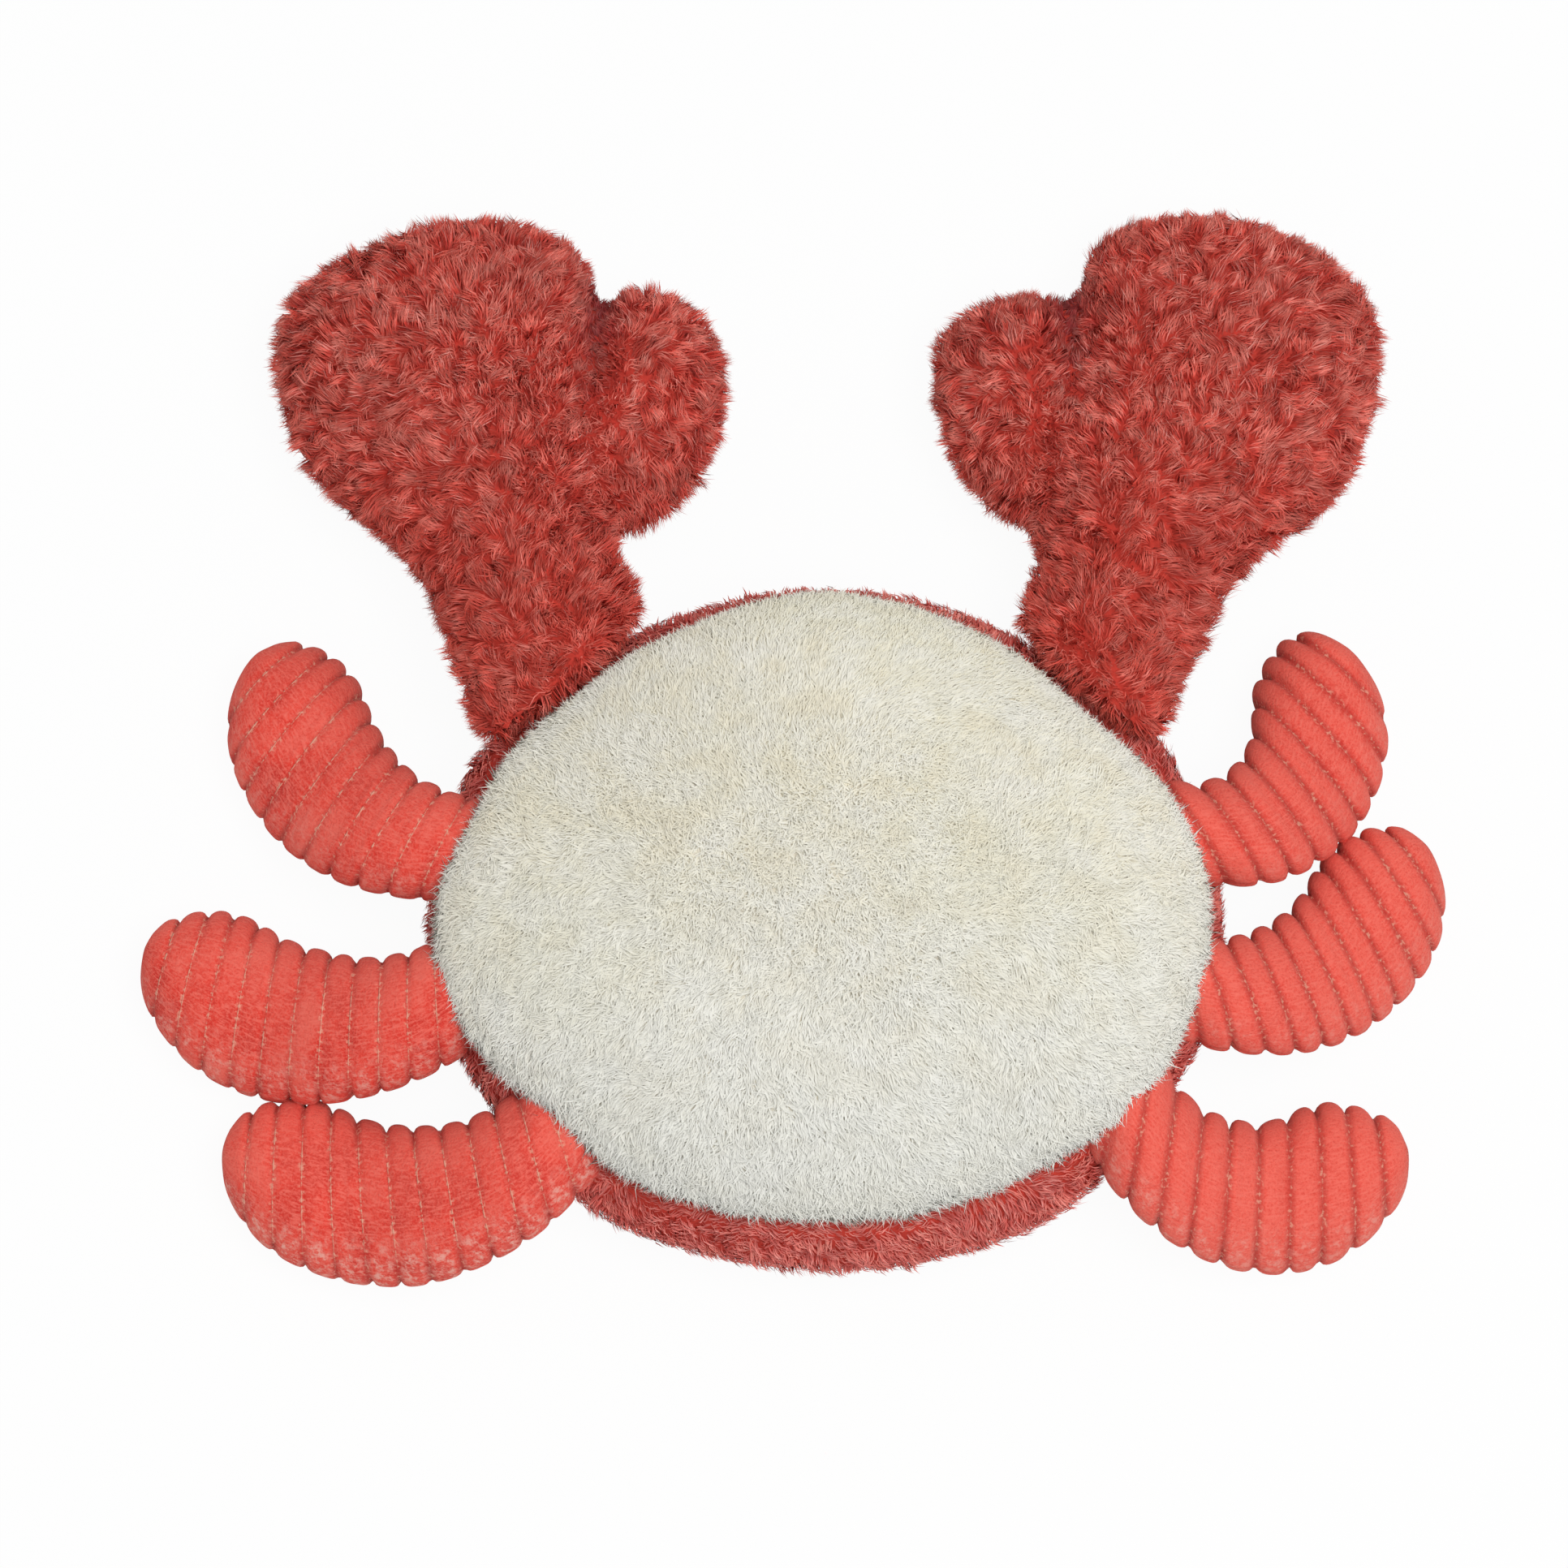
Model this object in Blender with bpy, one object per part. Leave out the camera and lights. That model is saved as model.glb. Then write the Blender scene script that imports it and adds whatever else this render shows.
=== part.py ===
# Plush crab lying on its back, belly up, as it rests on a table.
# +X is the crab's own left, +Y is its front, where the claws are, and +Z is up, out of the belly.
# The origin is on the table, at the middle of the flat spot that the body rests on.
# Lengths are in metres and angles in degrees, counted anticlockwise from +X.

import math

import bmesh
import bpy
import numpy as np
from mathutils import Matrix, Vector

# Body: a cream belly panel over a red back panel, sewn together along a seam
BODY_WIDTH = 0.206
FRONT_REACH = 0.085  # from the middle of the body to the front of the seam
REAR_REACH = 0.084
FRONT_ROUNDNESS = 1.8  # superellipse power: 2 is an ellipse, less is more pointed
REAR_ROUNDNESS = 2.05
SEAM_HEIGHT = 0.046
BELLY_RISE = 0.044  # from the seam to the top of the belly
SIDE_OVERHANG = 0.005  # how far the stuffed back bulges past the seam at the sides
END_OVERHANG = 0.0075  # and at the front and the rear
BACK_WIDEST_HEIGHT = 0.026
REST_SPOT_SHARE = 0.52  # the flat spot's reach, as a share of the seam's
STITCH_GAP = 0.0003  # clearance between pieces that are sewn to each other
TRIM_GROWTH = 1.008  # the limbs are trimmed by the body grown by this, about its seam's middle

# Legs: six alike, cut from corduroy whose ribs cross them at a slant
LEG_LENGTH = 0.085  # from the seam to the tip, round the bend
LEG_WIDTH = 0.038
LEG_THICKNESS = 0.032
LEG_ROOT_SHARE = 0.71  # a leg's width at the seam, as a share of its full width
LEG_FULL_AT = 0.63  # share of the way along where it is widest
LEG_TUCK = 0.034  # how much of a leg is sewn in behind the seam
LEG_ROOT_DROP = 0.006  # from the seam down to the middle of a leg's root
RIB_PITCH = 0.0076
RIB_DEPTH = 0.0014
RIB_FAN_REACH = 0.240  # the ribs fan out from a point this far off, on the inside of the bend
TIP_INNER_POWER = 3.2  # bluntness of the rounded tip on the inside of the bend
TIP_OUTER_POWER = 2.0  # and on the outside

# name: (angle round the body, root heading, bend, length share, width share, rib slant)
LEGS = {
    "leg_left_front": (16.5, -3.0, 135.0, 0.92, 0.93, 34.0),
    "leg_left_middle": (-14.0, -9.5, 104.0, 0.94, 0.98, 27.0),
    "leg_left_rear": (-39.0, -60.5, 123.0, 0.98, 1.01, 50.0),
    "leg_right_front": (166.5, 169.5, -87.5, 0.95, 0.99, 16.0),
    "leg_right_middle": (195.5, 207.5, -89.0, 1.03, 1.05, 24.0),
    "leg_right_rear": (226.0, 224.0, -100.0, 1.10, 1.08, 28.0),
}

# Claws: two alike and mirrored, each an arm that widens into a broad finger, with a thumb beside it
CLAW_LENGTH = 0.138  # from the seam to the tip
CLAW_WIDTH = 0.094  # across the broad finger
CLAW_THICKNESS = 0.060
# Rows, as shares of those three: distance out from the seam, inner edge, outer edge, thickness
CLAW_ROWS = (
    (-0.20, 0.00, 0.00, 0.00),
    (-0.16, -0.19, 0.17, 0.43),
    (-0.03, -0.27, 0.21, 0.63),
    (0.13, -0.30, 0.23, 0.70),
    (0.28, -0.30, 0.27, 0.73),
    (0.38, -0.33, 0.33, 0.80),
    (0.48, -0.37, 0.43, 0.90),
    (0.59, -0.42, 0.51, 0.97),
    (0.71, -0.45, 0.55, 1.00),
    (0.82, -0.44, 0.53, 0.95),
    (0.92, -0.37, 0.45, 0.80),
    (0.98, -0.22, 0.28, 0.50),
    (1.00, 0.02, 0.02, 0.00),
)
PALM_ROW = 8  # where the claw first lies at its rest height
THUMB_OUT = 0.56  # the thumb's middle, as a share of the claw's length
THUMB_IN = -0.44  # and of its width, towards the other claw
THUMB_LENGTH = 0.071
THUMB_WIDTH = 0.052
THUMB_THICKNESS = 0.050
THUMB_TURN = 15.0  # away from the arm's own direction
THUMB_TAPER = 0.24  # how much slimmer than its middle it is towards the wrist
CLAW_ROOT_HEIGHT = 0.040
CLAW_REST_HEIGHT = 0.0275  # middle of the palm above the table
# name: (angle round the body, heading, side of the thumb)
CLAWS = {
    "claw_left": (42.0, 75.5, -1.0),
    "claw_right": (138.0, 103.5, 1.0),
}

BODY_SEGMENTS = 44
DOME_RINGS = 9  # from the top of the belly to the seam
BULGE_RINGS = 11  # from the seam to the middle of the flat spot
INNER_RINGS = 2  # across the inside, where the belly meets the back
LEG_SEGMENTS = 14
CLAW_SEGMENTS = 20
CLAW_RINGS = 22
THUMB_SEGMENTS = 16
THUMB_RINGS = 12

FABRICS = {
    # name: (linear colour, roughness)
    "cream_pile": ((0.75, 0.72, 0.62, 1.0), 0.95),
    "red_pile": ((0.42, 0.08, 0.07, 1.0), 0.95),
    "coral_corduroy": ((0.80, 0.11, 0.08, 1.0), 0.85),
}


def fabric(name):
    material = bpy.data.materials.get(name)
    if material is None:
        colour, roughness = FABRICS[name]
        material = bpy.data.materials.new(name)
        material.use_nodes = True
        shader = material.node_tree.nodes["Principled BSDF"]
        shader.inputs["Base Color"].default_value = colour
        shader.inputs["Roughness"].default_value = roughness
        shader.inputs["Metallic"].default_value = 0.0
        material.diffuse_color = colour
    return material


def soft_form(name, segments, rings, place, seat, collection, fabric_name):
    # A UV sphere whose points are carried to place(ring, angle), ring counting from pole to pole.
    # The object stands at its seat, the place and turn at which it is sewn on
    cage = bmesh.new()
    bmesh.ops.create_uvsphere(cage, u_segments=segments, v_segments=rings, radius=1.0)
    into = seat.inverted()
    for vert in cage.verts:
        ring = round(math.acos(max(-1.0, min(1.0, vert.co.z))) / math.pi * rings)
        vert.co = into @ place(ring, math.atan2(vert.co.y, vert.co.x))
    bmesh.ops.recalc_face_normals(cage, faces=cage.faces)
    mesh = bpy.data.meshes.new(name)
    cage.to_mesh(mesh)
    cage.free()
    mesh.shade_smooth()
    mesh.materials.append(fabric(fabric_name))
    form = bpy.data.objects.new(name, mesh)
    form.location = seat.to_translation()
    form.rotation_euler = seat.to_euler()
    collection.objects.link(form)
    return form


def seat_at(point, height, turned=0.0):
    place = Matrix.Translation((point[0], point[1], height))
    return place @ Matrix.Rotation(math.radians(turned), 4, "Z")


def boolean(target, other, operation):
    modifier = target.modifiers.new(operation.lower(), "BOOLEAN")
    modifier.operation = operation
    modifier.solver = "EXACT"
    modifier.object = other


def helper_in(form):
    form.hide_render = True
    form.display_type = "WIRE"
    return form


def seam_point(angle):
    # The body's outline seen from above: two half superellipses that share their width
    across, along = math.cos(angle), math.sin(angle)
    reach = FRONT_REACH if along >= 0 else REAR_REACH
    power = 2.0 / (FRONT_ROUNDNESS if along >= 0 else REAR_ROUNDNESS)
    return Vector(
        (
            math.copysign(abs(across) ** power, across) * BODY_WIDTH / 2,
            math.copysign(abs(along) ** power, along) * reach,
            0.0,
        )
    )


def dome(ring):
    # (reach as a share of the seam's, bulge past it, height above it), from the top of the belly out
    reach = math.sin(ring / DOME_RINGS * math.pi / 2)
    return reach, 0.0, BELLY_RISE * math.sqrt(max(0.0, 1.0 - reach**2.2))


def bulge(ring):
    # The same from the seam round the stuffed back to the middle of the flat spot
    widest, foot = 3, BULGE_RINGS - 1
    if ring > foot:
        return 0.0, 0.0, -SEAM_HEIGHT
    if ring <= widest:
        fall = ring / widest
        return 1.0, math.sin(fall * math.pi / 2), (BACK_WIDEST_HEIGHT - SEAM_HEIGHT) * fall
    lean = (ring - widest) / (foot - widest) * math.pi / 2
    reach = REST_SPOT_SHARE + (1.0 - REST_SPOT_SHARE) * math.cos(lean)
    return reach, math.cos(lean), BACK_WIDEST_HEIGHT * (1.0 - math.sin(lean)) - SEAM_HEIGHT


def body_form(name, rings, profile, shift, grow, collection, fabric_name):
    def place(ring, angle):
        reach, past, rise = profile(ring)
        point = seam_point(angle) * grow
        point.x *= reach + past * SIDE_OVERHANG / (BODY_WIDTH / 2)
        point.y *= reach + past * END_OVERHANG / REAR_REACH
        point.z = SEAM_HEIGHT + shift + rise * grow
        return point

    seat = seat_at((0.0, 0.0), SEAM_HEIGHT)
    return soft_form(name, BODY_SEGMENTS, rings, place, seat, collection, fabric_name)


def belly_profile(ring):
    if ring <= DOME_RINGS:
        return dome(ring)
    return 1.0 - (ring - DOME_RINGS) / INNER_RINGS, 0.0, 0.0


def back_profile(ring):
    if ring < INNER_RINGS:
        return ring / INNER_RINGS, 0.0, 0.0
    return bulge(ring - INNER_RINGS)


def body_profile(ring):
    return dome(ring) if ring <= DOME_RINGS else bulge(ring - DOME_RINGS)


def heading(angle):
    return Vector((math.cos(math.radians(angle)), math.sin(math.radians(angle)), 0.0))


def leg_outline(root, start, bend, length, width, steps=60):
    # Points along a leg's two edges, from behind the seam to the tip: a straight tuck, then an arc
    middle, side, inner_half, outer_half = [], [], [], []
    for step in range(steps + 1):
        along = -LEG_TUCK + (length + LEG_TUCK) * step / steps
        share = max(0.0, along / length)
        turned = start + bend * share
        if not middle:
            middle.append(root - heading(start) * LEG_TUCK)
        else:
            middle.append(middle[-1] + heading(turned) * (length + LEG_TUCK) / steps)
        side.append(heading(turned + math.copysign(90.0, bend)))
        swell = math.sin(min(1.0, share / LEG_FULL_AT) * math.pi / 2)
        full = width / 2 * (LEG_ROOT_SHARE + (1.0 - LEG_ROOT_SHARE) * swell)
        tip = max(0.0, (share - LEG_FULL_AT) / (1.0 - LEG_FULL_AT))
        inner_half.append(full * max(0.0, 1.0 - tip**TIP_INNER_POWER) ** 0.5)
        outer_half.append(full * max(0.0, 1.0 - tip**TIP_OUTER_POWER) ** 0.5)
    inner = [m + s * h for m, s, h in zip(middle, side, inner_half)]
    outer = [m - s * h for m, s, h in zip(middle, side, outer_half)]
    return np.array(inner), np.array(outer)


def leg_slices(pose):
    # Where cuts that fan out from one far point meet the leg's edges: the ribs lie along these cuts
    angle, start, bend, length_share, width_share, slant = pose
    root = seam_point(math.radians(angle))
    length = LEG_LENGTH * length_share
    inner, outer = leg_outline(root, start, bend, length, LEG_WIDTH * width_share)
    around = np.concatenate([inner, outer[::-1]])
    turning = math.copysign(1.0, bend)
    arm = np.array(heading(start + turning * (slant - 90.0))) * RIB_FAN_REACH
    rays = around - (np.array(root) - arm)
    depth = turning * np.arctan2(arm[0] * rays[:, 1] - arm[1] * rays[:, 0], rays @ arm)
    tip = int(np.argmax(depth))
    first, last = max(depth[0], depth[-1]), depth[tip]
    count = round((last - first) * RIB_FAN_REACH / RIB_PITCH)

    def cut(at):
        ends = []
        for line, far in ((around[: tip + 1], depth[: tip + 1]), (around[tip:][::-1], depth[tip:][::-1])):
            rising = np.maximum.accumulate(far)
            ends.append([np.interp(at, rising, line[:, axis]) for axis in range(2)])
        return np.array(ends)

    def way_along(point):
        # How far along the leg a cut's middle lies: 0 at the seam, 1 at the tip
        line = (inner + outer) / 2
        nearest = int(np.argmin(np.linalg.norm(line[:, :2] - point, axis=1)))
        return max(0.0, nearest / (len(line) - 1) * (length + LEG_TUCK) - LEG_TUCK) / length

    return cut, way_along, first, last, count


def leg(name, pose, collection):
    cut, way_along, first, last, count = leg_slices(pose)
    cuts_per_rib = 3
    rings = cuts_per_rib * count
    shoulder = (0.0, 0.30, 0.70)
    rest_height = LEG_THICKNESS / 2 - 0.001
    root_height = SEAM_HEIGHT - LEG_ROOT_DROP
    widest = max(np.linalg.norm(np.subtract(*cut(first + (last - first) * k / 40))) for k in range(40))

    def place(ring, angle):
        rib, part = divmod(ring, cuts_per_rib)
        at = first + (last - first) * min(1.0, (rib + shoulder[part]) / count)
        end_a, end_b = cut(at)
        middle, half = (end_a + end_b) / 2, (end_a - end_b) / 2
        spread = np.linalg.norm(half) * 2 / widest
        groove = RIB_DEPTH if part == 0 else 0.0
        whole = 0 < ring < rings
        inset = max(0.0, 1.0 - groove / max(np.linalg.norm(half), 1e-9)) if whole else 0.0
        thick = max(0.0, LEG_THICKNESS / 2 * min(1.0, spread) ** 0.6 - groove) if whole else 0.0
        fall = min(1.0, way_along(middle) / 0.7)
        height = root_height + (rest_height - root_height) * (3 * fall**2 - 2 * fall**3)
        flat = middle + half * inset * math.cos(angle)
        return Vector((flat[0], flat[1], max(0.0, height + thick * math.sin(angle))))

    seat = seat_at(seam_point(math.radians(pose[0])), root_height, pose[1])
    return soft_form(name, LEG_SEGMENTS, rings, place, seat, collection, "coral_corduroy")


def through(rows, share):
    # A smooth curve through the rows, each a tuple of numbers, at a share of the way along them
    spot = share * (len(rows) - 1)
    index = min(int(spot), len(rows) - 2)
    t = spot - index
    before = rows[max(index - 1, 0)]
    after = rows[min(index + 2, len(rows) - 1)]
    mixed = []
    for a, b, c, d in zip(before, rows[index], rows[index + 1], after):
        mixed.append(
            b + 0.5 * t * (c - a + t * (2 * a - 5 * b + 4 * c - d + t * (3 * (b - c) + d - a)))
        )
    return mixed


def claw_height(along):
    # Height of the claw's middle: it hangs from the seam and its palm lies on the table
    fall = min(1.0, max(0.0, along / (CLAW_ROWS[PALM_ROW][0] * CLAW_LENGTH)))
    return CLAW_ROOT_HEIGHT + (CLAW_REST_HEIGHT - CLAW_ROOT_HEIGHT) * (3 * fall**2 - 2 * fall**3)


def claw(name, pose, collection, cutters):
    angle, turned, side = pose
    root = seam_point(math.radians(angle))
    out = heading(turned)
    outward = heading(turned + 90.0 * side)

    def arm_place(ring, angle):
        out_share, inner, outer, thick = through(CLAW_ROWS, ring / CLAW_RINGS)
        along = out_share * CLAW_LENGTH
        middle, half = (inner + outer) / 2, max(0.0, outer - inner) / 2
        across = (middle + half * math.cos(angle)) * CLAW_WIDTH
        point = root + out * along + outward * across
        rise = max(0.0, thick) * math.sin(angle) * CLAW_THICKNESS / 2
        point.z = max(0.0, claw_height(along) + rise)
        return point

    def thumb_place(ring, angle):
        far = math.cos(ring / THUMB_RINGS * math.pi) * THUMB_LENGTH / 2
        girth = math.sin(ring / THUMB_RINGS * math.pi)
        girth *= 1.0 + THUMB_TAPER * math.cos(ring / THUMB_RINGS * math.pi)
        wide = girth * math.cos(angle) * THUMB_WIDTH / 2
        turn = math.radians(THUMB_TURN)
        along = THUMB_OUT * CLAW_LENGTH + far * math.cos(turn) + wide * math.sin(turn)
        across = THUMB_IN * CLAW_WIDTH - far * math.sin(turn) + wide * math.cos(turn)
        point = root + out * along + outward * across
        rise = girth * math.sin(angle) * THUMB_THICKNESS / 2
        point.z = max(0.0, claw_height(THUMB_OUT * CLAW_LENGTH) + rise)
        return point

    seat = seat_at(root, CLAW_ROOT_HEIGHT, turned)
    form = soft_form(name, CLAW_SEGMENTS, CLAW_RINGS, arm_place, seat, collection, "red_pile")
    thumb = soft_form(
        name + "_thumb", THUMB_SEGMENTS, THUMB_RINGS, thumb_place, seat, cutters, "red_pile"
    )
    boolean(form, helper_in(thumb), "UNION")
    return form


def main():
    for old in list(bpy.data.objects):
        bpy.data.objects.remove(old)
    crab = bpy.data.collections.new("plush_crab")
    cutters = bpy.data.collections.new("cutters")
    for collection in (crab, cutters):
        bpy.context.scene.collection.children.link(collection)

    belly_rings = DOME_RINGS + INNER_RINGS
    back_rings = INNER_RINGS + BULGE_RINGS
    body_rings = DOME_RINGS + BULGE_RINGS
    body_form("belly", belly_rings, belly_profile, STITCH_GAP, 1.0, crab, "cream_pile")
    body_form("back", back_rings, back_profile, 0.0, 1.0, crab, "red_pile")
    trim = body_form("body_trim", body_rings, body_profile, 0.0, TRIM_GROWTH, cutters, "red_pile")
    helper_in(trim)
    limbs = [leg(name, pose, crab) for name, pose in LEGS.items()]
    limbs += [claw(name, pose, crab, cutters) for name, pose in CLAWS.items()]
    for limb in limbs:
        boolean(limb, trim, "DIFFERENCE")

    middle = bpy.data.objects.new("crab_middle", None)
    middle.empty_display_size = BODY_WIDTH / 4
    crab.objects.link(middle)
    for piece in crab.objects:
        if piece != middle:
            piece.parent = middle


main()
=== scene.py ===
import math

import bmesh
import bpy
import numpy as np
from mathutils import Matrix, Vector


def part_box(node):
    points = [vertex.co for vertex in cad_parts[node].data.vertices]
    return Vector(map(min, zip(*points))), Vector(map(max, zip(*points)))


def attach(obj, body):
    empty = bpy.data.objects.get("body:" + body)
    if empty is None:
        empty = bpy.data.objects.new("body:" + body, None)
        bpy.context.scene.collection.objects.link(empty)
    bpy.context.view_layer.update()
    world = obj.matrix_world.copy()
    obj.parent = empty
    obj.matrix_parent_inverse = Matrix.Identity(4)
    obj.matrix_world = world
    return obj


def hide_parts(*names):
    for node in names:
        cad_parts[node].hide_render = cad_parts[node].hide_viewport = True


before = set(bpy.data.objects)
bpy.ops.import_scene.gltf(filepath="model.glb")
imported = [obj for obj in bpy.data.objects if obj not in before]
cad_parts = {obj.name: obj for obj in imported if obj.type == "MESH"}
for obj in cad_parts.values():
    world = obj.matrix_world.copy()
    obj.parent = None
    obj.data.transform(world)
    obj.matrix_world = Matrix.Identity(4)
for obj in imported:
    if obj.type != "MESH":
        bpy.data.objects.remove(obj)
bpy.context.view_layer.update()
print("frame loaded")

# camera, floor and light; lengths are in metres and angles in degrees unless a note says otherwise

view = {
    "sensor": 36.0,  # millimetres
    "tilt": 10.5,  # degrees off straight down, towards the rear of the crab
    "distance": 1.70,
    "width": 0.4105,  # metres across the picture at the seam's height
    "aim": (-0.0104, 0.0323),  # from the middle of the body, right and up in the picture
    "seamHeight": 0.046,
}


def makeCamera(view):
    # Stands back from the target along the tilted line of sight, with a lens that gives the width
    tilt = math.radians(view["tilt"])
    up = np.array([0.0, math.cos(tilt), math.sin(tilt)])
    back = np.array([0.0, -math.sin(tilt), math.cos(tilt)])
    aside, upwards = view["aim"]
    target = np.array([0.0, 0.0, view["seamHeight"]]) + up * upwards + np.array([aside, 0.0, 0.0])
    data = bpy.data.cameras.new("cameraAbove")
    data.sensor_width = view["sensor"]
    data.lens = view["sensor"] * view["distance"] / view["width"]
    data.clip_end = 20.0
    camera = bpy.data.objects.new("cameraAbove", data)
    camera.location = target + back * view["distance"]
    camera.rotation_euler = (tilt, 0.0, 0.0)
    bpy.context.collection.objects.link(camera)
    bpy.context.scene.camera = camera


makeCamera(view)
bpy.context.scene.view_settings.view_transform = "Standard"

studio = {
    "tableSize": 8.0,
    "tableHeight": -0.0006,
    "tableGrey": 0.86,
    "tableWhite": 0.95,  # share of plain white in what the camera sees of the table
    "skyLight": 0.42,  # the white all round as a light; the camera sees it at full strength
    "lampPlace": (0.32, -0.18, 1.72),
    "lampSize": 0.9,
    "lampPower": 18.5,
}


def nodesOf(material):
    # The material's nodes, links and its shader
    material.use_nodes = True
    tree = material.node_tree
    return tree.nodes, tree.links, tree.nodes["Principled BSDF"]


def seenPlainly(nodes, links):
    # One where the camera sees a thing itself, mirrored or through glass, and else nothing
    path = nodes.new("ShaderNodeLightPath")
    seen = path.outputs["Is Camera Ray"]
    for ray in ("Is Glossy Ray", "Is Transmission Ray"):
        either = nodes.new("ShaderNodeMath")
        either.operation = "MAXIMUM"
        links.new(seen, either.inputs[0])
        links.new(path.outputs[ray], either.inputs[1])
        seen = either.outputs[0]
    return seen


def makeFloor(studio):
    # A pale table top; straight to the camera it shows nearly white, and it keeps the crab's soft shadow
    bpy.ops.mesh.primitive_plane_add(size=studio["tableSize"], location=(0.0, 0.0, studio["tableHeight"]))
    floor = bpy.context.object
    floor.name = "paleTable"
    material = bpy.data.materials.new("paleTable")
    nodes, links, shader = nodesOf(material)
    shader.inputs["Base Color"].default_value = (*[studio["tableGrey"]] * 3, 1.0)
    shader.inputs["Roughness"].default_value = 0.9
    shader.inputs["Specular IOR Level"].default_value = 0.0
    glow = nodes.new("ShaderNodeEmission")
    glow.inputs["Color"].default_value = (1.0, 1.0, 1.0, 1.0)
    share = nodes.new("ShaderNodeMath")
    share.operation = "MULTIPLY"
    share.inputs[1].default_value = studio["tableWhite"]
    mix = nodes.new("ShaderNodeMixShader")
    links.new(seenPlainly(nodes, links), share.inputs[0])
    links.new(share.outputs[0], mix.inputs[0])
    links.new(shader.outputs[0], mix.inputs[1])
    links.new(glow.outputs[0], mix.inputs[2])
    links.new(mix.outputs[0], nodes["Material Output"].inputs["Surface"])
    floor.data.materials.append(material)


def areaLamp(name, place, size, power):
    # A round lamp that is turned to the origin
    data = bpy.data.lights.new(name, "AREA")
    data.shape = "DISK"
    data.size = size
    data.energy = power
    lamp = bpy.data.objects.new(name, data)
    lamp.location = place
    lamp.rotation_euler = (-Vector(place)).to_track_quat("-Z", "Y").to_euler()
    bpy.context.collection.objects.link(lamp)


def makeSky(asLight):
    # White all round; as a light it is dimmer than it looks to the camera
    world = bpy.context.scene.world or bpy.data.worlds.new("softBox")
    bpy.context.scene.world = world
    world.use_nodes = True
    nodes, links = world.node_tree.nodes, world.node_tree.links
    sky = nodes["Background"]
    sky.inputs["Color"].default_value = (1.0, 1.0, 1.0, 1.0)
    strength = nodes.new("ShaderNodeMapRange")
    strength.inputs["To Min"].default_value = asLight
    links.new(seenPlainly(nodes, links), strength.inputs["Value"])
    links.new(strength.outputs["Result"], sky.inputs["Strength"])


makeFloor(studio)
makeSky(studio["skyLight"])
areaLamp("overheadLamp", studio["lampPlace"], studio["lampSize"], studio["lampPower"])
print("camera, floor and lamps made")

# numbers that repeat


def latticeNumber(cell, seed):
    # A repeatable number from 0 to 1 for each whole-numbered lattice corner
    mixed = cell[..., 0] * 73856093 ^ cell[..., 1] * 19349663 ^ cell[..., 2] * 83492791
    mixed = (mixed ^ (seed * 2654435761)) * 1274126177
    mixed = (mixed ^ (mixed >> 15)) * 2246822519
    return ((mixed ^ (mixed >> 13)) & 0xFFFFFF) / 0xFFFFFF


def smoothNoise(points, size, seed):
    # Noise from -1 to 1: lattice numbers blended across each cell with a smooth step
    scaled = points / size
    cell = np.floor(scaled).astype(np.int64)
    part = scaled - cell
    part = part * part * (3.0 - 2.0 * part)
    total = np.zeros(len(points))
    for corner in range(8):
        step = np.array([corner & 1, corner >> 1 & 1, corner >> 2])
        total += np.prod(np.where(step, part, 1.0 - part), axis=1) * latticeNumber(cell + step, seed)
    return total * 2.0 - 1.0


def unit(vectors):
    # Each vector over its own length
    return vectors / np.maximum(np.linalg.norm(vectors, axis=-1, keepdims=True), 1e-12)


def heading(degrees):
    # The level direction at an angle counted from +X
    angle = np.radians(degrees)
    return np.stack([np.cos(angle), np.sin(angle)], axis=-1)


def meshFrom(name, points, corners, counts):
    # corners lists the faces' vertices one after another, counts how many each face has
    mesh = bpy.data.meshes.new(name)
    mesh.vertices.add(len(points))
    mesh.vertices.foreach_set("co", np.ascontiguousarray(points, np.float32).ravel())
    mesh.loops.add(len(corners))
    mesh.loops.foreach_set("vertex_index", np.ascontiguousarray(corners, np.int32))
    mesh.polygons.add(len(counts))
    starts = np.concatenate([[0], np.cumsum(counts)[:-1]])
    mesh.polygons.foreach_set("loop_start", starts.astype(np.int32))
    mesh.update(calc_edges=True)
    mesh.validate()
    mesh.polygons.foreach_set("use_smooth", np.ones(len(counts), bool))
    return mesh


def pieceFrom(mesh, material, node):
    # The mesh as a piece that stands for a node
    piece = bpy.data.objects.new(mesh.name, mesh)
    bpy.context.collection.objects.link(piece)
    mesh.materials.append(material)
    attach(piece, "root")
    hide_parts(node)
    return piece


# stuffed bags under the pile

bags = {
    "voxel": 0.004,
    "smooth": (0.5, 4),  # share and times
    "lumpSize": 0.028,
    "creaseBeyond": 0.3,  # how far a crease runs on past its open end, as a share of its length
    "aboveTable": 0.0012,
    "frames": 20,  # of the cloth under pressure
    "quality": 6,
    "mass": 0.3,
    "stiffness": 12.0,
    "bending": 0.4,
    "pressure": 4.0,
    "cap": 0.0012,  # most that a point moves under the pressure
}


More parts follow.
